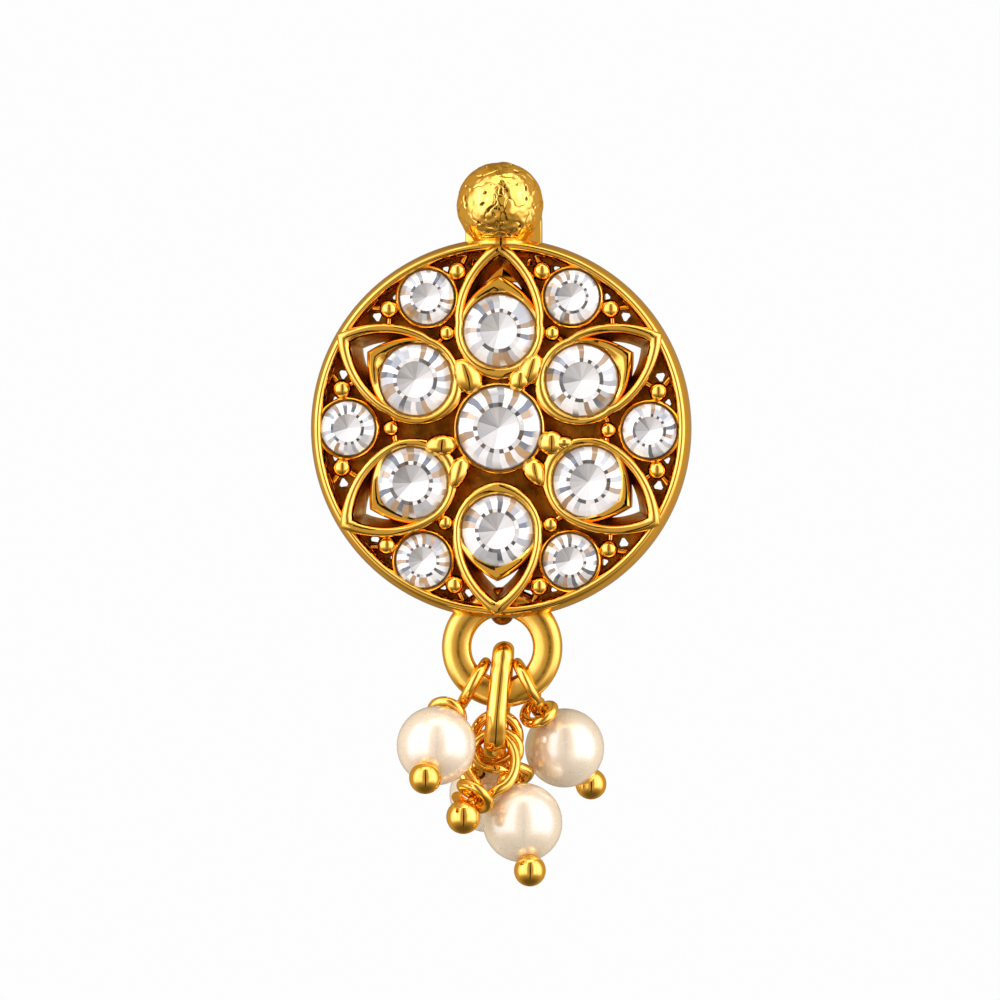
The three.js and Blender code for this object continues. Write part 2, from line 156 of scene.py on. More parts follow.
def turned(bm, profile, middle, steps, axis=(0, 1, 0)):
    """Turns a profile of (radius, height along the axis) round the axis at middle."""
    axis = Vector(axis)
    out = Vector((1, 0, 0)) if abs(axis.x) < 0.5 else Vector((0, 0, 1))
    middle = Vector(middle)
    verts = [bm.verts.new(middle + out * r + axis * h) for r, h in profile]
    edges = [bm.edges.new(pair) for pair in zip(verts, verts[1:])]
    bmesh.ops.spin(bm, geom=verts + edges, cent=middle, axis=axis,
                   angle=2 * math.pi, steps=steps, use_merge=True)


def clean(bm):
    """Merges doubled corners and turns the faces outwards."""
    bmesh.ops.remove_doubles(bm, verts=bm.verts, dist=1e-4)
    bmesh.ops.dissolve_degenerate(bm, dist=1e-5, edges=bm.edges)
    bmesh.ops.recalc_face_normals(bm, faces=bm.faces)


def add_spline(curve, places, closed=False):
    """Adds a route through the places to a curve."""
    spline = curve.splines.new("POLY")
    spline.points.add(len(places) - 1)
    for point, place in zip(spline.points, places):
        point.co = (*place, 1)
    spline.use_cyclic_u = closed


def add_tube(bm, points, radius, around):
    """Round wire along a route, with flat ends. A higher around makes it rounder."""
    curve = bpy.data.curves.new("route", "CURVE")
    curve.dimensions = "3D"
    curve.bevel_depth = radius
    curve.bevel_resolution = around
    curve.use_fill_caps = True
    add_spline(curve, points)
    add_curve(bm, curve)


def add_curve(bm, curve, matrix=Matrix.Identity(4)):
    """Adds a curve's surface to the mesh and removes the curve."""
    holder = bpy.data.objects.new("route", curve)
    mesh = bpy.data.meshes.new_from_object(holder)
    mesh.transform(matrix)
    bm.from_mesh(mesh)
    bpy.data.objects.remove(holder)
    bpy.data.meshes.remove(mesh)
    bpy.data.curves.remove(curve)


def add_pierced(bm, outline, holes, front, back, edge):
    """A flat sheet across Y with an outline, holes and softened edges."""
    curve = bpy.data.curves.new("sheet", "CURVE")
    curve.dimensions = "2D"
    curve.fill_mode = "BOTH"
    curve.extrude = (back - front) / 2 - edge
    curve.bevel_depth = edge
    curve.bevel_resolution = 1
    curve.offset = -edge
    for loop in [outline, *holes]:
        add_spline(curve, [(x, z, 0) for x, z in loop], closed=True)
    upright = Matrix.Rotation(math.pi / 2, 4, "X")
    add_curve(bm, curve, Matrix.Translation((0, (front + back) / 2, 0)) @ upright)


def eased(value, start, end):
    """A number that eases from 0 at start to 1 at end."""
    t = min(1.0, max(0.0, (value - start) / (end - start)))
    return t * t * (3 - 2 * t)


def arc(x, z, radius, start, sweep, steps):
    """Points round (x, z) from an angle through a sweep, with both ends."""
    turns = [start + sweep * k / steps for k in range(steps + 1)]
    return [(x + radius * math.cos(turn), z + radius * math.sin(turn)) for turn in turns]


def circle(x, z, radius, steps):
    """A round outline as (x, z)."""
    return arc(x, z, radius, 0, 2 * math.pi, steps)[:-1]


def mirrored(side, end):
    """An outline from its tip down one side, round its end and back up the other."""
    return side + end + [(u, -v) for u, v in reversed(side[1:])]


def add_ball(bm, place, radius, around, along):
    """A ball with around by along faces."""
    bmesh.ops.create_uvsphere(bm, u_segments=around, v_segments=along, radius=radius,
                              matrix=Matrix.Translation(place))


def shade_walls(bm, middles, bright_before=-5.0):
    """Gives the second finish, painted shade, to the faces that look towards a stone's axis.

    Faces that lie further forward than bright_before keep the first one.
    """
    bmesh.ops.recalc_face_normals(bm, faces=bm.faces)
    for face in bm.faces:
        place = face.calc_center_median()
        if place.y < bright_before:
            continue
        x, z = min(middles, key=lambda m: (place.x - m[0]) ** 2 + (place.z - m[1]) ** 2)
        inwards = Vector((x - place.x, 0, z - place.z))
        if inwards.length > 0 and face.normal.dot(inwards.normalized()) > 0.3:
            face.material_index = 1


def finish_piece(bm, name, nodes, finishes, sharp=40):
    """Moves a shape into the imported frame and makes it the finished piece."""
    clean(bm)
    bmesh.ops.transform(bm, matrix=TO_FRAME, verts=bm.verts)
    mesh = bpy.data.meshes.new(name)
    bm.to_mesh(mesh)
    bm.free()
    if len(mesh.polygons) == 0:
        raise RuntimeError(f"{name} has no faces")
    for face in mesh.polygons:
        face.use_smooth = True
    mesh.set_sharp_from_angle(angle=math.radians(sharp))
    for each in finishes:
        mesh.materials.append(finish(each))
    piece = bpy.data.objects.new(name, mesh)
    bpy.context.scene.collection.objects.link(piece)
    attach(piece, "root")
    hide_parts(*nodes)


def finish_cast(bm, name, finishes, sharp=40):
    """Finishes a part of the one cast medallion."""
    finish_piece(bm, name, ["medallion"], finishes, sharp)


# ---- Finishes ----


def feed(node, **values):
    """Links or sets a node's inputs, named with _ for a space."""
    for key, value in values.items():
        join(value, node.inputs[key.replace("_", " ")])


def join(value, socket):
    """Links another node's output to a socket, or sets the socket to a plain value."""
    if isinstance(value, bpy.types.NodeSocket):
        socket.id_data.links.new(value, socket)
    else:
        socket.default_value = value


def add_node(tree, kind, **values):
    """A new node with its inputs fed."""
    node = tree.nodes.new(f"ShaderNode{kind}")
    feed(node, **values)
    return node


def new_finish(name):
    """A new material, its nodes, its shader and its place in millimetres."""
    material = bpy.data.materials.new(name)
    material.use_nodes = True
    tree = material.node_tree
    place = add_node(tree, "TexCoord").outputs["Object"]
    scaled = add_node(tree, "Mapping", Scale=(1 / MM, 1 / MM, 1 / MM), Vector=place)
    return material, tree, tree.nodes["Principled BSDF"], scaled.outputs["Vector"]


def cloud(tree, place, scale, detail=3.0):
    """Soft noise with about scale patches to a millimetre."""
    return add_node(tree, "TexNoise", Scale=scale, Detail=detail, Vector=place).outputs["Fac"]


def between(tree, factor, low, high, start=0.3, end=0.7):
    """A number that runs from low to high as factor runs from start to end."""
    node = add_node(tree, "MapRange", Value=factor, From_Min=start, From_Max=end, To_Min=low,
                    To_Max=high)
    return node.outputs["Result"]


def blended(tree, factor, low, high):
    """A colour that runs from low to high. Either may be a colour or a socket."""
    node = add_node(tree, "Mix")
    node.data_type = "RGBA"
    feed(node, Factor=factor)
    for key, value in (("A", low), ("B", high)):
        plain = value if isinstance(value, bpy.types.NodeSocket) else (*value, 1)
        join(plain, next(s for s in node.inputs if s.name == key and s.type == "RGBA"))
    return next(s for s in node.outputs if s.type == "RGBA")


def roughen(tree, shader, height, strength, depth):
    """Bumps the surface by height, depth millimetres deep."""
    bump = add_node(tree, "Bump", Strength=strength, Distance=depth * MM, Height=height)
    feed(shader, Normal=bump.outputs["Normal"])


def gold_finish(name, rough, grain, worn=0.35):
    """Polished yellow gold plate under a clear lacquer, a little uneven in tone."""
    gold = bpy.context.scene.nose_pin_finish
    material, tree, shader, place = new_finish(name)
    tone = between(tree, cloud(tree, place, 0.9), 0, 1)
    colour = blended(tree, tone, gold.gold_deep, gold.gold_colour)
    polish = between(tree, cloud(tree, place, 5.0, 4.0), rough * (1 - worn), rough * (1 + worn))
    feed(shader, Base_Color=colour, Roughness=polish, Metallic=1,
         Specular_Tint=(*gold.gold_edge, 1), Coat_Weight=0.12, Coat_Roughness=0.03)
    roughen(tree, shader, cloud(tree, place, 14.0, 5.0), grain, 0.02)
    return material


def painted_shade_finish(name, low, high):
    """Unpolished gold inside the openwork, with painted shade that runs from one brown to another.
    """
    material, tree, shader, place = new_finish(name)
    tone = between(tree, cloud(tree, place, 2.2, 4.0), 0, 1)
    polish = between(tree, cloud(tree, place, 6.0), 0.22, 0.42)
    feed(shader, Base_Color=blended(tree, tone, low, high), Roughness=polish, Metallic=1)
    roughen(tree, shader, cloud(tree, place, 10.0, 5.0), 0.25, 0.03)
    return material


def pitted_finish(name):
    """Hammered gold whose deepest marks have kept a dark brown tarnish, in the patina colour."""
    gold = bpy.context.scene.nose_pin_finish
    material, tree, shader, place = new_finish(name)
    mark = add_node(tree, "Attribute")
    mark.attribute_name = "pit"
    tone = between(tree, cloud(tree, place, 1.2), 0, 1)
    bright = blended(tree, tone, gold.gold_deep, gold.gold_colour)
    colour = blended(tree, mark.outputs["Fac"], bright, gold.patina_and_shade)
    polish = between(tree, mark.outputs["Fac"], 0.05, 0.45, 0, 1)
    feed(shader, Base_Color=colour, Roughness=polish, Metallic=1,
         Specular_Tint=(*gold.gold_edge, 1), Coat_Weight=0.12, Coat_Roughness=0.04)
    roughen(tree, shader, cloud(tree, place, 5.0, 4.0), 0.3, 0.03)
    return material


def crystal_finish(name):
    """Mirror-backed clear stone. Each facet keeps the tone of light it throws back."""
    stone = bpy.context.scene.nose_pin_finish
    material, tree, shader, place = new_finish(name)
    facet = add_node(tree, "Attribute")
    facet.attribute_name = "facet"
    veil = between(tree, cloud(tree, place, 3.0, 2.0), 0.0, 0.1)
    colour = blended(tree, veil, facet.outputs["Color"], stone.crystal_veil)
    feed(shader, Base_Color=colour, Metallic=0.05, Roughness=0.06, Coat_Weight=0.8,
         Coat_Roughness=0.01)
    return material


def pearl_finish(name):
    """Cream pearl lustre: a soft shine from inside and a clear shine on top."""
    pearl = bpy.context.scene.nose_pin_finish
    material, tree, shader, place = new_finish(name)
    tone = between(tree, cloud(tree, place, 0.7, 2.0), 0, 1)
    colour = blended(tree, tone, pearl.pearl_colour, pearl.pearl_blush)
    polish = between(tree, cloud(tree, place, 1.6, 3.0), 0.22, 0.32)
    feed(shader, Base_Color=colour, Roughness=polish, Metallic=0.36, Coat_Weight=0.9,
         Coat_Roughness=0.09)
    roughen(tree, shader, cloud(tree, place, 1.4, 3.0), 0.15, 0.03)
    return material


def finish(name):
    """The finish of that name, made once."""
    made = bpy.data.materials.get(name)
    if made:
        return made
    gold = bpy.context.scene.nose_pin_finish
    makers = {
        "gold_bright": lambda: gold_finish(name, 0.035, 0.02),
        "gold_satin": lambda: gold_finish(name, 0.22, 0.05, 0.2),
        # The wall and recess finishes paint shade on the gold: dark browns where shade falls
        # inside the openwork.
        "gold_wall_shade": lambda: painted_shade_finish(name, gold.recess_shade_colour, gold.gold_deep),
        "gold_recess_shade": lambda: painted_shade_finish(name, gold.patina_and_shade, gold.recess_shade_colour),
        "gold_pitted": lambda: pitted_finish(name),
        "cut_crystal": lambda: crystal_finish(name),
        "pearl_lustre": lambda: pearl_finish(name),
    }
    return makers[name]()


# ---- Medallion ----

PETAL_SIDE, PETAL_TIP, PETAL_HALF = 3.0, 5.12, 1.145
TIP_SHARE = 1.7  # how much faster a leaf's tip moves than its sides when it grows
ARC_STEPS = 12

# The petal wall's section: how far outside its middle line, how far back, and how
# much it takes part in the lip at the petal's inner end.
RIDGE = [
    (-0.3, 0.75, 0), (-0.29, 0.4, 0), (-0.17, -0.3, 0), (-0.12, -0.6, 0), (-0.1, -0.7, 0),
    (-0.075, -0.79, 0), (-0.02, -0.84, 0.1), (0.05, -0.85, 0.4), (0.11, -0.81, 0.85),
    (0.145, -0.73, 1), (0.15, -0.6, 1), (0.13, 0.5, 0.6), (-0.3, 0.75, 0),
]
LIP, LIP_SWEEP = 0.13, 0.95  # how far the lip stands out, and its half angle
CUP_TIP, CUP_SHOULDER, CUP_FULLNESS, CUP_WALL = 4.34, 3.78, 0.94, 0.14
# The cup's wall from back to front: how far it spreads, how far its tip is drawn
# in, and how far back.
CUP_WALL_ROWS = [
    (0.02, 0.0, CUP_BACK), (0.02, 0.0, -0.6), (0.0, 0.0, -0.7), (-0.03, 0.03, -0.755),
    (-0.06, 0.12, -0.77), (-0.085, 0.22, -0.74),
]
SEAT_OPEN = 0.45  # the opening behind a stone, as a share of its radius

# The rim's section: how far inside its outer radius, and how far back.
RIM = [
    (0.4, 0.74), (0.38, 0.77), (0.1, 0.77), (0.04, 0.72), (0.0, 0.6), (0.0, 0.1), (0.03, -0.2),
    (0.09, -0.5), (0.13, -0.64), (0.18, -0.7), (0.24, -0.72), (0.3, -0.7), (0.34, -0.64),
    (0.39, -0.5), (0.4, -0.2), (0.4, 0.74),
]


def leaf(setting, spread, lip=0.0):
    """A petal's outline, grown by spread, as (x, z) from its tip round and back.

    With lip the inner end is drawn out to a blunt point.
    """
    half = PETAL_HALF + spread
    tip = PETAL_TIP + TIP_SHARE * spread
    length = tip - PETAL_SIDE
    bow = (length ** 2 + half ** 2) / (2 * half)
    sweep = math.asin(length / bow)
    lean = math.asin(min(1, (PETAL_SIDE - setting.reach) / half))
    side = []
    for k in range(ARC_STEPS):
        turn = sweep * (1 - k / ARC_STEPS)
        side.append((PETAL_SIDE + bow * math.sin(turn), half - bow + bow * math.cos(turn)))
    end = []
    for k in range(2 * ARC_STEPS + 1):
        turn = math.pi / 2 - lean + (math.pi + 2 * lean) * k / (2 * ARC_STEPS)
        wide = half + LIP * lip * max(0.0, 1 - abs(turn - math.pi) / LIP_SWEEP)
        end.append((setting.reach + wide * math.cos(turn), wide * math.sin(turn)))
    return aimed(setting, mirrored(side, end))


def aimed(setting, outline):
    """Turns an outline on the setting's own axes to its place round the medallion."""
    cos, sin = math.cos(setting.angle), math.sin(setting.angle)
    return [(u * cos - v * sin, u * sin + v * cos) for u, v in outline]


def at_depth(outline, y):
    """Lays an outline of (x, z) at one depth."""
    return [(x, y, z) for x, z in outline]


def cup_outline(setting, spread, short=0.0):
    """The pointed cup's outline on its own axes, from its tip round and back.

    With short its tip is drawn in by that much, and its shoulders by half.
    """
    radius = setting.radius + CUP_WALL + spread
    tip, shoulder = CUP_TIP + 1.5 * spread - short, CUP_SHOULDER + spread - short / 2
    side = []
    for k in range(14):
        t = k / 14
        side.append((
            tip * (1 - t) ** 2 + 2 * shoulder * t * (1 - t) + setting.reach * t ** 2,
            2 * CUP_FULLNESS * radius * t * (1 - t) + radius * t ** 2,
        ))
    return mirrored(side, arc(setting.reach, 0, radius, math.pi / 2, math.pi, 24))


def cup_seat(setting, radius):
    """A circle round the stone, with one point for each point of the cup's outline."""
    seat = []
    for u, v in cup_outline(setting, 0):
        turn = math.atan2(v, u - setting.reach)
        seat.append((setting.reach + radius * math.cos(turn), radius * math.sin(turn)))
    return seat


class NOSEPIN_OT_rim(bpy.types.Operator):
    """Turns the medallion's rim"""

    bl_idname = "nosepin.rim"
    bl_label = "Rim"

    def execute(self, context):
        bm = bmesh.new()
        turned(bm, [(RIM_RADIUS - inside, y) for inside, y in RIM], (0, 0, 0), 160)
        finish_cast(bm, "rim", ["gold_bright"], sharp=50)
        return {"FINISHED"}


# Piercings round each outer stone: degrees from the stone's own angle, distance
# from the middle, size, and the way that a corner points.
PIERCINGS = [(19.0, 4.8, 0.14, 20), (9.8, 4.84, 0.1, 70)]
PLATE_INSET = 0.33  # how far the plate's edge lies inside the rim's outer radius
PETAL_OPEN, OUTER_OPEN, CENTER_OPEN = -0.25, 0.8, 1.0  # openings behind petals and stones


class NOSEPIN_OT_gallery(bpy.types.Operator):
    """Cuts the pierced gallery plate behind the petals"""

    bl_idname = "nosepin.gallery"
    bl_label = "Gallery plate"

    def execute(self, context):
        holes = [leaf(petal, PETAL_OPEN) for petal in PETALS]
        holes.append(circle(0, 0, CENTER_OPEN, 40))
        for outer in OUTERS:
            holes.append(circle(outer.x, outer.z, outer.radius * OUTER_OPEN, 24))
            for away, reach, size, point in PIERCINGS:
                for way in (-1, 1):
                    angle = math.degrees(outer.angle) + way * away
                    x, z = polar(angle, reach)
                    holes.append(self.corner_hole(x, z, size, angle + way * point))
        bm = bmesh.new()
        plate = circle(0, 0, RIM_RADIUS - PLATE_INSET, 120)
        add_pierced(bm, plate, holes, PLATE_FRONT, PLATE_BACK, 0.03)
        # The plate behind the openwork is painted with the recess shade: dark brown for the shade
        # that falls on it.
        finish_cast(bm, "gallery", ["gold_recess_shade"], sharp=50)
        return {"FINISHED"}

    @staticmethod
    def corner_hole(x, z, size, point):
        """A small three-cornered hole with blunted corners."""
        corners = []
        for k in range(3):
            for blunt in (-16, 16):
                dx, dz = polar(point + 120 * k + blunt, size)
                corners.append((x + dx, z + dz))
        return corners


class NOSEPIN_OT_petals(bpy.types.Operator):
    """Raises the six petals' ridged walls"""

    bl_idname = "nosepin.petals"
    bl_label = "Petals"

    def execute(self, context):
        bm = bmesh.new()
        for petal in PETALS:
            skin(bm, [at_depth(leaf(petal, spread, lip), y) for spread, y, lip in RIDGE])
        clean(bm)
        # The petal walls' faces that look in at a stone take painted shade.
        shade_walls(bm, [(petal.x, petal.z) for petal in PETALS], bright_before=-0.62)
        finish_cast(bm, "petals", ["gold_bright", "gold_wall_shade"], sharp=50)
        return {"FINISHED"}


class NOSEPIN_OT_cups(bpy.types.Operator):
    """Makes the pointed cups that hold the petal stones"""

    bl_idname = "nosepin.cups"
    bl_label = "Pointed cups"

    def execute(self, context):
        bm = bmesh.new()
        for petal in PETALS:
            radius, girdle = petal.radius, petal.girdle
            seat = [
                (radius + 0.03, girdle + 0.02), (radius + 0.025, girdle + 0.12),
                (radius * SEAT_OPEN, girdle + 0.8), (radius * SEAT_OPEN, CUP_BACK),
            ]
            rows = [(cup_outline(petal, spread, short), y) for spread, short, y in CUP_WALL_ROWS]
            rows += [(cup_seat(petal, wide), y) for wide, y in seat]
            rows.append(rows[0])
            skin(bm, [at_depth(aimed(petal, outline), y) for outline, y in rows])
        finish_cast(bm, "cups", ["gold_bright"], sharp=32)
        return {"FINISHED"}


class NOSEPIN_OT_bezels(bpy.types.Operator):
    """Turns the round bezels of the centre stone and the outer stones"""

    bl_idname = "nosepin.bezels"
    bl_label = "Round bezels"

    def execute(self, context):
        bm = bmesh.new()
        for stone in [CENTER, *OUTERS]:
            radius, girdle = stone.radius, stone.girdle
            profile = [
                (radius * SEAT_OPEN, BEZEL_BACK), (radius + 0.12, BEZEL_BACK),
                (radius + 0.12, girdle + 0.05), (radius + 0.1, girdle - 0.04),
                (radius + 0.055, girdle - 0.07), (radius + 0.015, girdle - 0.05),
                (radius - 0.01, girdle + 0.02), (radius * SEAT_OPEN, girdle + 0.6),
                (radius * SEAT_OPEN, BEZEL_BACK),
            ]
            turned(bm, profile, (stone.x, 0, stone.z), 56)
        # The bezel walls' faces that look in at a stone take painted shade.
        shade_walls(bm, [(stone.x, stone.z) for stone in [CENTER, *OUTERS]])
        finish_cast(bm, "bezels", ["gold_bright", "gold_recess_shade"], sharp=45)
        return {"FINISHED"}


# Lobes of the large grains round the centre stone: x and z, the way they point,
# half their length and width, and how much they narrow towards their point.
LARGE_GRAINS = [
    (-0.93, 1.5, 120, 0.57, 0.39, 0.24), (0.58, 1.38, 60, 0.38, 0.33, 0.0),
    (0.89, 1.67, 61, 0.52, 0.34, 0.1), (1.48, -0.42, 0, 0.4, 0.38, 0.0),
    (1.85, -0.4, 0, 0.3, 0.2, 0.0), (-1.68, -0.49, 184, 0.48, 0.33, 0.1),
    (-1.17, -1.28, 250, 0.52, 0.29, 0.22), (1.02, -1.27, -62, 0.46, 0.32, 0.3),
]
LARGE_GRAIN_Y, LARGE_GRAIN_DEPTH = -0.68, 0.34
# The grains that flank each outer stone and the one inside it: degrees from the
# stone's own angle, distance from the middle, radius and depth.
FLANK_AWAY, FLANK_REACH, FLANK_RADIUS, FLANK_Y = 14, 4.65, 0.275, -0.45
INNER_REACH, INNER_RADIUS, INNER_Y = 3.1, 0.24, -0.5
# Where the bars from those grains end: degrees from the stone's angle and distance.
FLANK_BARS = ((17.5, 5.05), (18.4, 4.36), (8.5, 4.52))
INNER_BARS = ((-12, 3.05), (12, 3.05))
BRIDGE, BRIDGE_Y = 0.1, 0.12  # half the bars' thickness, and their depth
PEG_FOOT = 0.4  # how far back the grains' pegs reach into the plate


class NOSEPIN_OT_grains(bpy.types.Operator):
    """Sets the soldered grains, their pegs and the bars between them"""

    bl_idname = "nosepin.grains"
    bl_label = "Grains"

    def execute(self, context):
        bm = bmesh.new()
        for outer in OUTERS:
            base = math.degrees(outer.angle)
            for way in (-1, 1):
                flank = (base + way * FLANK_AWAY, FLANK_REACH)
                self.grain(bm, *flank, FLANK_RADIUS, FLANK_Y)
                for away, reach in FLANK_BARS:
                    self.bar(bm, flank, (base + way * away, reach))
            self.grain(bm, base, INNER_REACH, INNER_RADIUS, INNER_Y)
            for away, reach in INNER_BARS:
                self.bar(bm, (base, INNER_REACH), (base + away, reach))
        for grain in LARGE_GRAINS:
            self.large_grain(bm, *grain)
        finish_cast(bm, "grains", ["gold_bright"], sharp=60)
        return {"FINISHED"}

    @staticmethod
    def grain(bm, angle, reach, radius, y):
        """A round grain on its peg."""
        x, z = polar(angle, reach)
        add_ball(bm, (x, y, z), radius, 28, 18)
        peg = [(0, y), (radius * 0.62, y), (radius * 0.5, -0.1), (radius * 0.55, PEG_FOOT),
               (0, PEG_FOOT)]
        turned(bm, peg, (x, 0, z), 16)

    @staticmethod
    def bar(bm, start, end):
        """A thin bar between two places, each an angle and a distance."""
        (ax, az), (bx, bz) = polar(*start), polar(*end)
        add_tube(bm, [(ax, BRIDGE_Y, az), (bx, BRIDGE_Y, bz)], BRIDGE, around=2)

    @staticmethod
    def large_grain(bm, x, z, turn, length, width, narrow):
        """A drop-shaped lobe on its peg."""
        made = bmesh.ops.create_uvsphere(bm, u_segments=40, v_segments=26, radius=1)
        for vert in made["verts"]:
            taper = 1 - narrow * vert.co.x
            vert.co = Vector((vert.co.x * length, vert.co.y * LARGE_GRAIN_DEPTH,
                              vert.co.z * width * taper))
        turned_to = Matrix.Rotation(-math.radians(turn), 4, "Y")
        place = Matrix.Translation((x, LARGE_GRAIN_Y, z)) @ turned_to
        bmesh.ops.transform(bm, matrix=place, verts=made["verts"])
        peg = [(0, -0.6), (width * 0.7, -0.6), (width * 0.55, 0.0), (width * 0.6, PEG_FOOT),
               (0, PEG_FOOT)]
        turned(bm, peg, (x, 0, z), 16)


class NOSEPIN_OT_crown_ball(bpy.types.Operator):
    """Hammers and pits the ball above the medallion"""

    bl_idname = "nosepin.crown_ball"
    bl_label = "Crown ball"

    def execute(self, context):
        detail = context.scene.nose_pin_sizes.ball_detail
        bm = bmesh.new()
        pit = bm.verts.layers.float.new("pit")
        bmesh.ops.create_icosphere(bm, subdivisions=detail, radius=1)
        for vert in bm.verts:
            depth, dark = self.hammered(vert.co.normalized())
            vert.co = BALL_MIDDLE + vert.co.normalized() * (BALL_RADIUS - depth)
            vert[pit] = dark
        finish_cast(bm, "crown_ball", ["gold_pitted"], sharp=80)
        return {"FINISHED"}

    @staticmethod
    def hammered(way):
        """How deep the surface is struck in one direction, and how dark its pits are.

        Broad dents swell over the whole ball, creases run along some folds of
        the noise, and pits are cut where two noises meet.
        """
        swell = noise.noise(way * 3.1 + Vector((1, 4, 2))) + 0.6 * noise.noise(way * 8.3)
        fold = abs(noise.noise(way * 2.4 + Vector((6, 1, 3))) + 0.12 * noise.noise(way * 7))
        where = eased(noise.noise(way * 1.9 + Vector((0, 8, 5))), -0.3, 0.2)
        crease = max(0.0, 1 - fold / 0.08) * where
        spot = noise.noise(way * 7 + Vector((9, 0, 2))) + 0.5 * noise.noise(way * 4.6)
        cut = max(0.0, min(1.0, (spot - 0.5) * 7))
        depth = max(0.0, 0.012 + 0.024 * swell) + 0.022 * crease + 0.045 * cut
        return depth, min(1.0, cut + 0.8 * crease ** 3)


# The collar's section as radius and height, and the strap's foot and round shoulder.
COLLAR = [
    (0.55, 5.2), (0.8, 5.22), (0.83, 5.27), (0.82, 5.34), (0.77, 5.38), (0.79, 5.42),
    (0.83, 5.46), (0.81, 5.52), (0.74, 5.57), (0.5, 5.6),
]
STRAP_FOOT = [(-1.05, 4.2), (1.15, 4.2)]
STRAP_X, STRAP_Z, STRAP_HALF, STRAP_FRONT = 0.05, 5.9, 1.1, 0.65
POST_HOLE = 0.39


class NOSEPIN_OT_neck(bpy.types.Operator):
    """Makes the collar and the soldered strap behind the ball"""

    bl_idname = "nosepin.neck"
    bl_label = "Collar and strap"

    def execute(self, context):
        bm = bmesh.new()
        turned(bm, COLLAR, (0, BALL_MIDDLE.y, 0), 72, axis=(0, 0, 1))
        outline = STRAP_FOOT + arc(STRAP_X, STRAP_Z, STRAP_HALF, 0, math.pi, 24)
        hole = circle(0, BALL_MIDDLE.z, POST_HOLE, 40)
        add_pierced(bm, outline, [hole], STRAP_FRONT, STRAP_BACK, 0.06)
        finish_cast(bm, "collar_and_strap", ["gold_bright"])
        return {"FINISHED"}


# The lower ring's section as radius and distance back, and its small bead.
RING = [
    (0.89, 0.2), (0.93, 0.07), (1.02, 0.0), (1.45, 0.0), (1.56, 0.03), (1.66, 0.1),
    (1.71, 0.19), (1.73, 0.3), (1.71, 0.41), (1.66, 0.5), (1.56, 0.57), (1.45, 0.6),
    (1.02, 0.6), (0.93, 0.53), (0.89, 0.4), (0.89, 0.2),
]
RING_MIDDLE = (0.03, 0, -6.27)
BEAD_MIDDLE, BEAD_RADIUS = (0.03, 0.3, -5.3), 0.34


class NOSEPIN_OT_lower_ring(bpy.types.Operator):
    """Turns the ring below the medallion and its small bead"""

    bl_idname = "nosepin.lower_ring"
    bl_label = "Lower ring"

    def execute(self, context):
        bm = bmesh.new()
        turned(bm, RING, RING_MIDDLE, 128)
        finish_cast(bm, "lower_ring", ["gold_satin"], sharp=60)

        bm = bmesh.new()
        add_ball(bm, BEAD_MIDDLE, BEAD_RADIUS, 32, 20)
        # The bead gets the recess finish: painted shade, as it sits in shade under the medallion.
        finish_cast(bm, "ring_bead", ["gold_recess_shade"])
        return {"FINISHED"}


POST_NECK, POST_BALL = 0.4, 0.6  # radii of the post's shaft and of its end ball


class NOSEPIN_OT_nose_post(bpy.types.Operator):
    """Turns the plain post that goes through the nostril"""

    bl_idname = "nosepin.nose_post"
    bl_label = "Nose post"

    def execute(self, context):
        low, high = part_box("nose_post")
        start, end = (low.y - MIDDLE.y) / MM, (high.y - MIDDLE.y) / MM
        seat = -MIDDLE.y / MM  # the foot's back rests on the skin, in the frame's Y = 0 plane
        profile = [(0, start), (0.34, start), (0.36, start + 0.03), (0.36, seat - 0.25),
                   (0.64, seat - 0.25), (0.7, seat - 0.2), (0.7, seat - 0.05), (0.65, seat),
                   (0.46, seat), (0.41, seat + 0.04), (POST_NECK, seat + 0.12)]
        start_turn = math.asin(POST_NECK / POST_BALL)
        for k in range(17):
            turn = start_turn + (math.pi - start_turn) * k / 16
            away = end - POST_BALL - POST_BALL * math.cos(turn)
            profile.append((POST_BALL * math.sin(turn), away))
        bm = bmesh.new()
        turned(bm, profile, (0, 0, BALL_MIDDLE.z), 48)
        finish_piece(bm, "turned_post", ["nose_post"], ["gold_bright"])
        return {"FINISHED"}


# ---- Stones ----


NARROW_STEP = 0.56  # where a narrow facet starts, as a share of the step between broad ones
WARMER = (1, 0.985, 0.945)  # takes a little blue out of every tone
# Tones of the line round the table, a painted reflection, of the girdle's two bands, a painted
# shadow where the stone meets its bezel, and of the foil behind.
TABLE_LINE, GIRDLE_FRONT_SHADE, GIRDLE_BACK_SHADE = (0.42, 0.36, 0.31), (0.3, 0.2, 0.12), (0.2, 0.12, 0.06)
FOIL = (0.72, 0.55, 0.3)
TWIST = 0.12  # how far the girdle is turned against the table, in steps


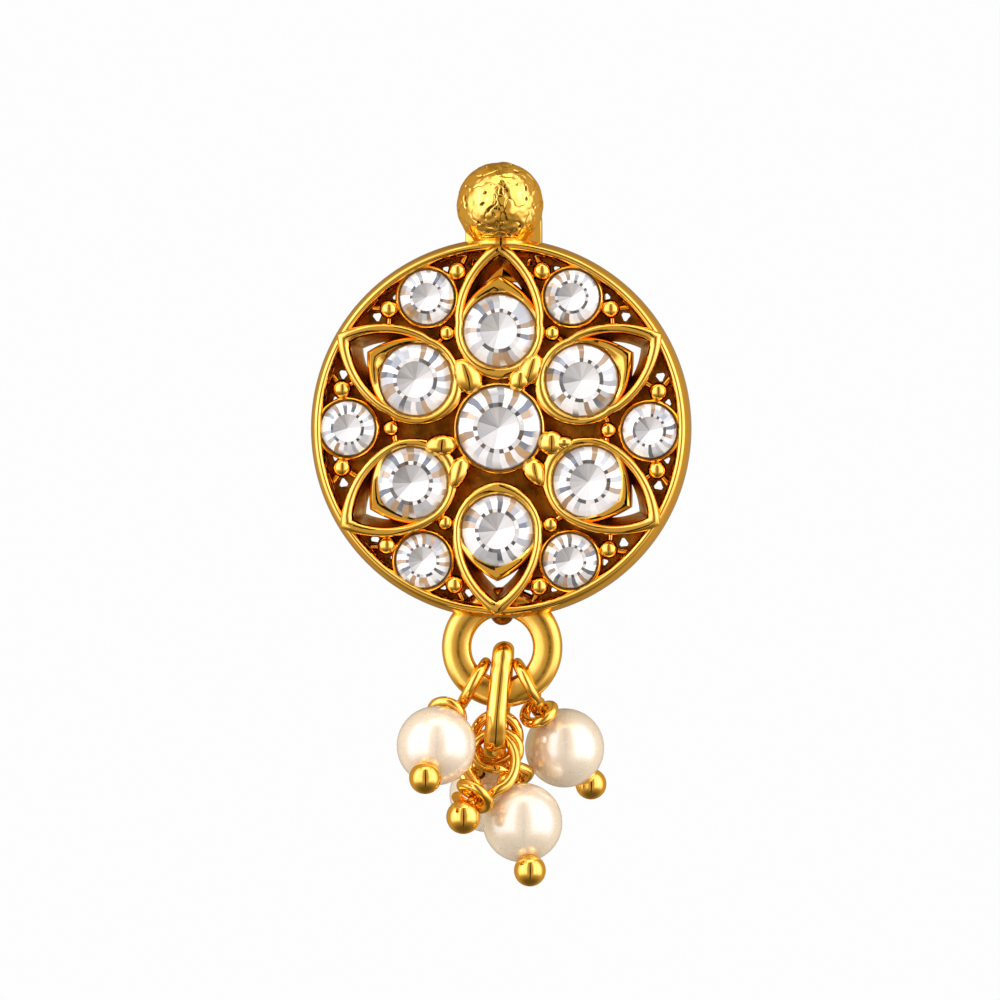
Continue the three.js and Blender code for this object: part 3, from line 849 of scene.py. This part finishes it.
def cut_stone(setting, seed):
    """A round stone: a fan of facets under its table, a crown and a cone behind."""
    rule = random.Random(seed)
    radius, pairs = setting.radius, bpy.context.scene.nose_pin_sizes.stone_facets
    bm = bmesh.new()
    tone = bm.loops.layers.float_color.new("facet")
    start = rule.uniform(0, math.pi)

    def around(reach, y, shift=0.0):
        """Broad facets with narrow ones between them."""
        places = []
        for k in range(2 * pairs):
            step = k // 2 + (NARROW_STEP if k % 2 else 0.0) + shift
            angle = start + 2 * math.pi * step / pairs
            places.append((setting.x + reach * radius * math.cos(angle), y,
                           setting.z + reach * radius * math.sin(angle)))
        return places

    def paint(faces, colours, fades=None):
        """Gives each facet its tone. With fades its outer corners take another."""
        for face, colour, fade in zip(faces, colours, fades or colours):
            middle = face.calc_center_median()
            reach = math.hypot(middle.x - setting.x, middle.z - setting.z)
            for corner in face.loops:
                place = corner.vert.co
                outer = math.hypot(place.x - setting.x, place.z - setting.z) > reach
                shown = fade if outer else colour
                corner[tone] = (*(part * share for part, share in zip(shown, WARMER)), 1)

    front, girdle = setting.front, setting.girdle
    loop = start_loop(bm, around(0.5, front + 0.02 * radius))
    hub = bm.verts.new((setting.x, front + 0.06 * radius, setting.z))
    fan = [bm.faces.new((hub, a, b)) for a, b in zip(loop, loop[1:] + loop[:1])]
    paint(fan, table_tones(rule, start, pairs))

    def turn_of(face):
        """How far round the stone a facet stands from the first one."""
        middle = face.calc_center_median()
        return (math.atan2(middle.z - setting.z, middle.x - setting.x) - start) % (2 * math.pi)

    def next_ring(reach, y, shift=0.0):
        """Grows the skin by one ring and gives its facets in order round the stone."""
        nonlocal loop
        known = set(bm.faces)
        loop = grow(bm, loop, around(reach, y, shift))
        return sorted((face for face in bm.faces if face not in known), key=turn_of)

    # Each ring takes its share of the radius, its depth and its twist.
    height, count = girdle - SETTING_GAP - front, 2 * pairs
    paint(next_ring(0.51, front + 0.005), [TABLE_LINE] * count)
    paint(next_ring(0.61, front + 0.02), [dash_tone(rule, k) for k in range(count)])
    inner = [crown_tone(rule, k) for k in range(count)]
    outer = [crown_tone(rule, k) if rule.random() < 0.45 else same
             for k, same in enumerate(inner)]
    paint(next_ring(0.8, front + 0.45 * height), inner)
    paint(next_ring(0.965, girdle - 0.05, TWIST), inner, outer)
    # The girdle's two bands are a painted shadow where the stone sits in its bezel.
    paint(next_ring(1, girdle - 0.02, TWIST), [GIRDLE_FRONT_SHADE] * count)
    paint(next_ring(1, girdle + 0.03, TWIST), [GIRDLE_BACK_SHADE] * count)
    paint(next_ring(0.03, girdle + 0.76 * radius, TWIST), [FOIL] * count)
    paint([bm.faces.new(loop)], [FOIL])
    return bm


def table_tones(rule, start, pairs):
    """Light under the table: grey and beige above on the left, white below on the right."""
    tones = []
    for k in range(2 * pairs):
        if k % 2 == 0:
            angle = start + 2 * math.pi * (k // 2 + 0.4) / pairs
            lit = 0.5 + 0.5 * math.cos(angle + 0.9)
            value = min(1.0, 0.38 + 0.7 * lit + rule.uniform(-0.14, 0.1))
            warm = 1 - 0.1 * (1 - lit) * rule.random()
            tones.append((value, value * (0.5 + 0.5 * warm), value * warm))
        else:
            fade = rule.uniform(0.9, 1.0)
            tones.append(tuple(channel * fade for channel in tones[-1]))
    return tones


def dash_tone(rule, k):
    """The broken dark line round the table, a painted reflection."""
    if rule.random() < (0.78 if k % 2 else 0.16):
        value = rule.uniform(0.04, 0.14)
        brown, slate = (value, value * 0.72, value * 0.55), (value * 0.9, value, value * 1.15)
        return rule.choice([brown, slate])
    value = rule.uniform(0.6, 1.0)
    return value, value * 0.97, value * 0.94


def crown_tone(rule, k):
    """Light in one crown facet: broad ones mostly white, narrow ones grey, slate or tan."""
    pick = rule.random() + (0.0 if k % 2 else 0.36)
    if pick < 0.2:
        value = rule.uniform(0.08, 0.2)
        return value * 0.88, value, value * 1.2
    if pick < 0.46:
        value = rule.uniform(0.3, 0.55)
        return value, value * 0.64, value * 0.34
    if pick < 0.74:
        value = rule.uniform(0.34, 0.66)
        return value * 0.98, value, value * 1.04
    value = rule.uniform(0.8, 1.0)
    return value, value, value


class NOSEPIN_OT_stones(bpy.types.Operator):
    """Cuts the centre stone, the petal stones and the outer stones"""

    bl_idname = "nosepin.stones"
    bl_label = "Stones"

    def execute(self, context):
        for seed, setting in enumerate([CENTER, *PETALS, *OUTERS]):
            bm = cut_stone(setting, seed + 4)
            name = setting.node.replace("stone", "cut_stone")
            finish_piece(bm, name, [setting.node], ["cut_crystal"], sharp=4)
        return {"FINISHED"}


# ---- Link, head pins and pearls ----

LINK = {
    "top": -6.34, "bottom": -9.34, "top_radius": 0.3, "bottom_radius": 0.77,
    "lean": 5, "x": -0.06, "y": 0.3,
}
# How much fuller the link's wire is outside and inside near its top, and outside
# along its sides, and the heights between which it changes.
TOP_OUT, TOP_IN, SIDE_OUT = 0.1, 0.12, 0.2
TOP_FROM, TOP_TO, FOOT_FROM, FOOT_TO = -7.1, -6.6, -8.2, -8.8

# Each head pin: the way from its pearl to its end ball, and its eye's middle,
# stand and breadth. The wire wraps round itself below the eye. An arc gives the
# eye's first angle and sweep where they are not the usual ones, and from the
# angle where the wrap starts.
PINS = {
    "left": {
        "ball": (-0.16, -0.8, -0.58), "end": 0.46, "turns": 1.1, "wrap": 0.45,
        "eye": (-0.78, 0.3, -7.3), "up": (0.5, 0, 0.87), "across": (0, 1, 0),
        "along": 0.68, "wide": 0.66,
    },
    "right": {
        "ball": (0.476, 0.533, -0.697), "end": 0.45, "turns": 1, "wrap": 0.42,
        "eye": (0.785, 0.3, -7.3), "up": (-0.47, -0.25, 0.85), "across": (0, 1, 0),
        "along": 0.66, "wide": 0.63,
    },
    "front": {
        "ball": (0.16, -0.45, -0.88), "end": 0.457, "turns": 0.8, "wrap": 0.4,
        "eye": (-0.14, 0.47, -9.23), "up": (-0.1, -0.1, 0.99), "across": (1, 0, 0),
        "along": 0.54, "wide": 0.64,
    },
    "back": {
        "ball": (0.2, 0.8, -0.56), "end": 0.45, "turns": 0.8, "wrap": 0.4,
        "eye": (-0.16, 0.81, -8.87), "up": (0.2, -0.3, 0.95), "across": (1, 0, 0),
        "along": 0.7, "wide": 0.63,
    },
    "gold": {
        "ball": (-0.41, -0.445, -0.8), "end": 0.49, "turns": 1.3, "wrap": 0.467,
        "eye": (-0.24, -0.269, -9.57), "up": (0.06, 0.348, 0.9), "across": (1, 0, 0),
        "along": 0.86, "wide": 0.685, "arc": (-110, 275), "from": 73,
    },
}
GOLD_END = Vector((-1.0, -1.18, -11.08))  # the end ball of the pin without a pearl
PEARL_RADII = {"left": 1.13, "right": 1.14, "front": 1.14, "back": 1.1}
PEARLS = {name: (box_middle(f"pearl_{name}") - MIDDLE) / MM for name in PEARL_RADII}
PEARL_HOLE = 0.21
WIRE_REACH, WRAP_GAP = 0.17, 0.03  # the wrap starts this far clear of a pearl or a ball
WRAP_PITCH, WRAP_STEPS = 0.36, 9
EYE_STEPS, EYE_ARC = 10, (-145, 285)


def smooth_route(points, steps=7):
    """A smooth curve through the points, even in speed and free of loops."""
    first = points[0] * 2 - points[1]
    last = points[-1] * 2 - points[-2]
    padded = [first, *points, last]
    route = []
    for a, b, c, d in zip(padded, padded[1:], padded[2:], padded[3:]):
        before, here, after = ((q - p).length ** 0.5 for p, q in ((a, b), (b, c), (c, d)))
        leave = ((b - a) / before - (c - a) / (before + here) + (c - b) / here) * here
        arrive = ((c - b) / here - (d - b) / (here + after) + (d - c) / after) * here
        for k in range(steps):
            t = k / steps
            route.append(b + leave * t + (c * 3 - b * 3 - leave * 2 - arrive) * t ** 2
                         + (b * 2 - c * 2 + leave + arrive) * t ** 3)
    return [*route, points[-1]]


def pin_end(name):
    """The middle of a pin's end ball."""
    pin = PINS[name]
    if name not in PEARLS:
        return GOLD_END
    reach = PEARL_RADII[name] + 0.85 * pin["end"]
    return PEARLS[name] + Vector(pin["ball"]).normalized() * reach


def pin_route(name):
    """Up from the end ball through the pearl, round the eye and down in the wrap."""
    pin = PINS[name]
    strung = name in PEARLS
    axis = -Vector(pin["ball"]).normalized()
    middle = PEARLS[name] if strung else GOLD_END
    clear = PEARL_RADII[name] + 0.05 if strung else 0.7 * pin["end"]
    mouth = middle + axis * clear
    stand = Vector(pin["up"]).normalized()
    across = Vector(pin["across"])
    wide = (across - stand * across.dot(stand)).normalized()
    eye = Vector(pin["eye"])
    first = (wide - axis * wide.dot(axis)).normalized()
    second = axis.cross(first)
    around = (PEARL_RADII[name] if strung else pin["end"]) + WIRE_REACH + WRAP_GAP
    lowest = math.sqrt(around ** 2 - pin["wrap"] ** 2) - clear

    points = [pin_end(name)]
    if strung:
        points += [middle, middle.lerp(mouth, 0.85)]
    points += [mouth, mouth + axis * (lowest + WRAP_PITCH * pin["turns"])]
    if strung:
        points.append(eye - stand * pin["along"])
    start, sweep = pin.get("arc", EYE_ARC)
    for k in range(EYE_STEPS + 1):
        turn = math.radians(start + sweep * k / EYE_STEPS)
        points.append(eye + stand * pin["along"] * math.cos(turn)
                      + wide * pin["wide"] * math.sin(turn))
    steps = round(WRAP_STEPS * pin["turns"])
    for k in range(steps + 1):
        turn = pin["turns"] * k / steps
        height = lowest + WRAP_PITCH * (pin["turns"] - turn)
        angle = math.radians(pin.get("from", 0)) + 2 * math.pi * turn
        points.append(mouth + axis * height + first * pin["wrap"] * math.cos(angle)
                      + second * pin["wrap"] * math.sin(angle))
    return smooth_route(points)


class NOSEPIN_OT_link(bpy.types.Operator):
    """Bends the link of heavy oval wire"""

    bl_idname = "nosepin.link"
    bl_label = "Link"

    def execute(self, context):
        sizes = context.scene.nose_pin_sizes
        wide, thin = sizes.link_width / MM / 2, sizes.link_depth / MM / 2
        head, foot = LINK["top_radius"], LINK["bottom_radius"]
        high, low = LINK["top"] - head, LINK["bottom"] + foot
        slant = math.asin((foot - head) / (high - low))
        loop = arc(0, high, head, slant, math.pi - 2 * slant, 24)
        loop += arc(0, low, foot, math.pi - slant, math.pi + 2 * slant, 40)
        outline = self.evened(loop, 120)
        befores, afters = outline[-1:] + outline, outline[1:] + outline[:1]
        middle = (LINK["top"] + LINK["bottom"]) / 2
        rounds = []
        for before, (y, z), after in zip(befores, outline, afters):
            out = Vector((after[1] - before[1], before[0] - after[0])).normalized()
            above, under = eased(z, TOP_FROM, TOP_TO), eased(z, FOOT_FROM, FOOT_TO)
            outer = thin + TOP_OUT * above + SIDE_OUT * (1 - above) * (1 - under)
            inner = thin + TOP_IN * above
            ring = []
            for k in range(28):
                turn = 2 * math.pi * k / 28
                across = wide * math.cos(turn)
                away = (outer - inner) / 2 + (outer + inner) / 2 * math.sin(turn)
                lean = (z + out.y * away - middle) * math.tan(math.radians(LINK["lean"]))
                ring.append((LINK["x"] + across + lean, LINK["y"] + y + out.x * away,
                             z + out.y * away))
            rounds.append(ring)
        bm = bmesh.new()
        skin(bm, [*rounds, rounds[0]])
        finish_piece(bm, "heavy_link", ["link"], ["gold_bright"], sharp=60)
        return {"FINISHED"}

    @staticmethod
    def evened(loop, count):
        """The same closed outline with points at even distances."""
        ends = loop[1:] + loop[:1]
        lengths = [math.dist(a, b) for a, b in zip(loop, ends)]
        total, even, k, passed = sum(lengths), [], 0, 0.0
        for n in range(count):
            goal = total * n / count
            while passed + lengths[k] < goal:
                passed += lengths[k]
                k += 1
            share = (goal - passed) / lengths[k]
            even.append(tuple(p + (q - p) * share for p, q in zip(loop[k], ends[k])))
        return even


class NOSEPIN_OT_head_pins(bpy.types.Operator):
    """Bends the head pins with their eyes, wraps and end balls"""

    bl_idname = "nosepin.head_pins"
    bl_label = "Head pins"

    def execute(self, context):
        wire = context.scene.nose_pin_sizes.pin_wire / MM / 2
        for name, pin in PINS.items():
            bm = bmesh.new()
            add_tube(bm, pin_route(name), wire, around=6)
            add_ball(bm, pin_end(name), pin["end"], 40, 28)
            finish_piece(bm, f"bent_pin_{name}", [f"head_pin_{name}"],
                         ["gold_bright"], sharp=60)
        return {"FINISHED"}


class NOSEPIN_OT_pearls(bpy.types.Operator):
    """Turns the drilled pearls"""

    bl_idname = "nosepin.pearls"
    bl_label = "Pearls"

    def execute(self, context):
        for name, middle in PEARLS.items():
            radius = PEARL_RADII[name]
            edge = math.asin(PEARL_HOLE / radius)
            profile = []
            for k in range(41):
                turn = edge + (math.pi - 2 * edge) * k / 40
                profile.append((radius * math.sin(turn), radius * math.cos(turn)))
            for height in (profile[-1][1] + 0.05, profile[0][1] - 0.05):
                profile.append((PEARL_HOLE, height))
            bm = bmesh.new()
            turned(bm, [*profile, profile[0]], (0, 0, 0), 72)
            clean(bm)
            lie = Vector((0, -1, 0)).rotation_difference(Vector(PINS[name]["ball"])).to_matrix()
            place = Matrix.Translation(middle) @ lie.to_4x4()
            bmesh.ops.transform(bm, matrix=place, verts=bm.verts)
            finish_piece(bm, f"drilled_pearl_{name}", [f"pearl_{name}"],
                         ["pearl_lustre"], sharp=50)
        return {"FINISHED"}


# ---- Stage ----


# Each softbox: its name, its place from the frame's origin, its width and height, all
# in metres, and its share of the softbox power.
SOFTBOXES = (
    ("left softbox", (-0.26, -0.16, 0.1), 0.1, 0.22, 1.0),
    ("right softbox", (0.28, -0.12, 0.06), 0.08, 0.22, 0.8),
    ("top softbox", (0.02, -0.08, 0.3), 0.26, 0.12, 0.9),
)
SENSOR = 36
AIM_X, AIM_Y = 0.01, -0.5  # the camera looks at this place, in millimetres from the middle


class NOSEPIN_OT_stage(bpy.types.Operator):
    """Sets the floor, the soft studio light and the camera"""

    bl_idname = "nosepin.stage"
    bl_label = "Stage"

    def execute(self, context):
        stage = context.scene.nose_pin_stage
        self.floor(stage)
        self.sky(context.scene, stage)
        for name, place, wide, tall, share in SOFTBOXES:
            self.softbox(name, Vector(place), wide, tall, share * stage.light_power)
        self.camera(context.scene, stage)
        context.scene.view_settings.view_transform = "Standard"
        return {"FINISHED"}

    @staticmethod
    def floor(stage):
        """A round sheet of white paper."""
        bm = bmesh.new()
        bmesh.ops.create_circle(bm, cap_ends=True, segments=96, radius=0.3)
        bmesh.ops.translate(bm, verts=bm.verts, vec=(0, 0, CAD_BOX[0].z - stage.floor_drop))
        mesh = bpy.data.meshes.new("floor")
        bm.to_mesh(mesh)
        bm.free()
        floor = bpy.data.objects.new("floor", mesh)
        material, tree, shader, place = new_finish("floor_paper")
        tone = between(tree, cloud(tree, place, 0.02), 0, 1)
        colour = blended(tree, tone, (0.9, 0.9, 0.9), (0.94, 0.94, 0.935))
        feed(shader, Base_Color=colour, Roughness=0.8)
        mesh.materials.append(material)
        floor.visible_glossy = False
        bpy.context.scene.collection.objects.link(floor)

    @staticmethod
    def sky(scene, stage):
        """White screens round the pin, with a dark gap and the lens between them in front."""
        world = bpy.data.worlds.new("studio")
        world.use_nodes = True
        scene.world = world
        tree = world.node_tree
        tree.nodes.clear()

        def work(kind, *values):
            """The result of a sum on outputs and numbers."""
            node = add_node(tree, "Math")
            node.operation = kind
            for value, socket in zip(values, node.inputs):
                join(value, socket)
            return node.outputs["Value"]

        def rise(value, start, end):
            """Eases from 0 to 1 as the value runs from start to end."""
            node = add_node(tree, "MapRange", Value=value, From_Min=start, From_Max=end)
            node.interpolation_type = "SMOOTHSTEP"
            return node.outputs["Result"]

        def within(*shares):
            """The product of several shares."""
            product = shares[0]
            for share in shares[1:]:
                product = work("MULTIPLY", product, share)
            return product

        place = add_node(tree, "TexCoord").outputs["Generated"]
        parts = add_node(tree, "SeparateXYZ", Vector=place)
        x, y, z = (parts.outputs[axis] for axis in "XYZ")
        turn = work("SUBTRACT", work("ARCTAN2", x, work("MULTIPLY", y, -1)), 0.1)
        aside = work("ABSOLUTE", turn)
        gap = work("MAXIMUM", rise(aside, 0.06, 0.1), rise(y, -0.6, -0.2))
        wide = within(rise(z, -1.0, -0.4), rise(aside, 3.7, 2.3))
        hot = within(rise(aside, 0.3, 0.55), rise(aside, 1.9, 1.4),
                     rise(z, -0.6, -0.2), rise(z, 0.97, 0.75))
        even = work("MULTIPLY_ADD", wide, stage.screens, stage.dim)
        light = work("MULTIPLY_ADD", hot, stage.hot, even)
        beside = work("POWER", work("SUBTRACT", x, 0.1), 2)
        lens = work("SQRT", work("ADD", beside, work("POWER", z, 2)))
        lens = work("MAXIMUM", rise(lens, 0.06, 0.1), rise(y, -0.5, 0.0))
        light = within(light, lens, work("MULTIPLY_ADD", gap, 0.95, 0.05))
        tint = blended(tree, rise(light, 0.55, 1.5), stage.shade_tint, stage.screen_tint)
        studio = add_node(tree, "Background", Strength=light, Color=tint)
        paper = add_node(tree, "Background", Color=(*stage.paper, 1))
        seen = add_node(tree, "LightPath").outputs["Is Camera Ray"]
        choose = add_node(tree, "MixShader", Fac=seen)
        join(studio.outputs["Background"], choose.inputs[1])
        join(paper.outputs["Background"], choose.inputs[2])
        add_node(tree, "OutputWorld", Surface=choose.outputs["Shader"])

    @staticmethod
    def softbox(name, place, wide, tall, power):
        """A soft light that faces the medallion and isn't seen itself."""
        light = bpy.data.lights.new(name, "AREA")
        light.shape = "RECTANGLE"
        light.size, light.size_y = wide, tall
        light.energy = power
        lamp = bpy.data.objects.new(name, light)
        target = Vector((0, MIDDLE.y, MIDDLE.z))
        lamp.location = place
        lamp.rotation_euler = (target - place).to_track_quat("-Z", "Y").to_euler()
        lamp.visible_camera = False
        bpy.context.scene.collection.objects.link(lamp)

    @staticmethod
    def camera(scene, stage):
        """Stands in front, turned a little to the right of the middle."""
        data = bpy.data.cameras.new("camera")
        data.sensor_width = SENSOR
        data.lens = SENSOR * stage.camera_distance / stage.view_width
        data.clip_start, data.clip_end = 0.01, 10
        camera = bpy.data.objects.new("camera", data)
        target = MIDDLE + Vector((AIM_X, AIM_Y, stage.view_height / MM)) * MM
        turn, lift = stage.camera_turn, stage.camera_lift
        way = Vector((math.sin(turn) * math.cos(lift), -math.cos(turn) * math.cos(lift),
                      math.sin(lift)))
        camera.location = target + way * stage.camera_distance
        camera.rotation_euler = (-way).to_track_quat("-Z", "Y").to_euler()
        scene.collection.objects.link(camera)
        scene.camera = camera


# ---- Settings, panel and main ----


def a_number(name, description, default, low, high, unit="NONE"):
    """A setting with one number."""
    return FloatProperty(name=name, description=description, default=default, min=low,
                         max=high, unit=unit)


def a_length(name, description, default, low, high):
    """A setting with a length in metres."""
    return a_number(name, description, default, low, high, "LENGTH")


def a_count(name, description, default, low, high):
    """A setting with a whole number."""
    return IntProperty(name=name, description=description, default=default, min=low, max=high)


def an_angle(name, description, default):
    """A setting with an angle."""
    return FloatProperty(name=name, description=description, default=default, unit="ROTATION")


def a_colour(name, description, default, high=1):
    """A setting with a colour."""
    return FloatVectorProperty(name=name, description=description, default=default, min=0,
                               max=high, subtype="COLOR")


class NosePinSizes(bpy.types.PropertyGroup):
    """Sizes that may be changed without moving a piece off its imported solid"""

    pin_wire: a_length(
        "Head pin wire", "Thickness of the head pins' wire", 0.00031, 0.0002, 0.00034)
    link_width: a_length(
        "Link width", "Width of the link's oval wire, seen from the front",
        0.00061, 0.0004, 0.00062)
    link_depth: a_length("Link depth", "Thickness of the link's oval wire", 0.0003, 0.0002, 0.0003)
    stone_facets: a_count("Facets", "Broad facets round each stone's table", 15, 8, 24)
    ball_detail: a_count("Ball detail", "Subdivisions of the hammered ball", 7, 4, 7)


class NosePinFinish(bpy.types.PropertyGroup):
    """Colours of the gold, the stones and the pearls"""

    gold_colour: a_colour("Gold", "Colour of the bright gold plate", (0.96, 0.59, 0.12))
    gold_deep: a_colour(
        "Deep gold", "Colour of the gold where the plate is deeper", (0.93, 0.52, 0.08))
    gold_edge: a_colour(
        "Gold at the edge", "Tint of the gold where it is seen edge on", (1.0, 0.78, 0.4))
    # Recess gold is painted shade: the brown laid on the gold inside the openwork where shade
    # falls.
    recess_shade_colour: a_colour(
        "Recess gold", "Colour of the dulled gold inside the openwork", (0.45, 0.18, 0.02))
    # The patina colour is the pits' own patina on the ball, and also the darkest painted shade in
    # the recesses.
    patina_and_shade: a_colour("Patina", "Colour left in the pits and recesses", (0.12, 0.04, 0.006))
    crystal_veil: a_colour("Stone haze", "Warm haze in the stones", (0.75, 0.68, 0.58))
    pearl_colour: a_colour("Pearl", "Colour of the pearls", (0.93, 0.81, 0.61))
    pearl_blush: a_colour("Pearl blush", "Pinker tone in the pearls", (0.93, 0.78, 0.59))


class NosePinStage(bpy.types.PropertyGroup):
    """Camera, light and floor"""

    camera_distance: a_length(
        "Camera distance", "From the camera to the middle of the view", 0.25, 0.1, 1)
    camera_turn: an_angle("Camera turn", "How far the camera stands to the right", math.radians(3))
    camera_lift: an_angle("Camera lift", "How far the camera stands above the middle", 0.0)
    view_width: a_length("View width", "Width seen at the middle of the view", 0.02857, 0.01, 0.1)
    view_height: a_length(
        "View height", "Middle of the view, above the centre stone", -0.00205, -0.01, 0.01)
    floor_drop: a_length("Floor drop", "From the lowest drop down to the floor", 0.045, 0.0, 0.2)
    light_power: a_number("Softbox power", "Power of each softbox", 0.18, 0, 20, unit="POWER")
    screens: a_number("Screens", "Brightness of the white screens", 0.46, 0, 5)
    hot: a_number("Screen middles", "Extra light in the middle of the screens", 1.35, 0, 10)
    dim: a_number("Room light", "Light from everywhere else", 0.14, 0, 3)
    shade_tint: a_colour("Shade tint", "Tint of the dimmer light in the room", (1.0, 0.82, 0.55))
    screen_tint: a_colour(
        "Screen tint", "Tint of the brightest part of the screens", (0.86, 0.9, 1.08), high=2)
    paper: a_colour("Paper", "Colour behind the object", (0.985, 0.985, 0.985))


OPERATORS = (
    NOSEPIN_OT_stage, NOSEPIN_OT_rim, NOSEPIN_OT_gallery, NOSEPIN_OT_petals, NOSEPIN_OT_cups,
    NOSEPIN_OT_bezels, NOSEPIN_OT_grains, NOSEPIN_OT_crown_ball, NOSEPIN_OT_neck,
    NOSEPIN_OT_lower_ring, NOSEPIN_OT_nose_post, NOSEPIN_OT_stones, NOSEPIN_OT_link,
    NOSEPIN_OT_head_pins, NOSEPIN_OT_pearls,
)


class NOSEPIN_PT_panel(bpy.types.Panel):
    """Lists the pieces of the nose pin"""

    bl_idname = "NOSEPIN_PT_panel"
    bl_label = "Nose Pin"
    bl_space_type = "VIEW_3D"
    bl_region_type = "UI"
    bl_category = "Nose Pin"

    def draw(self, context):
        for name in GROUPS:
            group = getattr(context.scene, name)
            box = self.layout.box()
            for key in group.__annotations__:
                box.prop(group, key)
        for operator in OPERATORS:
            self.layout.operator(operator.bl_idname)


GROUPS = {
    "nose_pin_sizes": NosePinSizes, "nose_pin_finish": NosePinFinish,
    "nose_pin_stage": NosePinStage,
}
CLASSES = (*GROUPS.values(), *OPERATORS, NOSEPIN_PT_panel)


def register():
    for each in CLASSES:
        bpy.utils.register_class(each)
    for name, group in GROUPS.items():
        setattr(bpy.types.Scene, name, PointerProperty(type=group))


def unregister():
    for name in GROUPS:
        delattr(bpy.types.Scene, name)
    for each in reversed(CLASSES):
        bpy.utils.unregister_class(each)


def main():
    register()
    for operator in OPERATORS:
        group, name = operator.bl_idname.split(".")
        getattr(getattr(bpy.ops, group), name)()


if __name__ == "__main__":
    main()
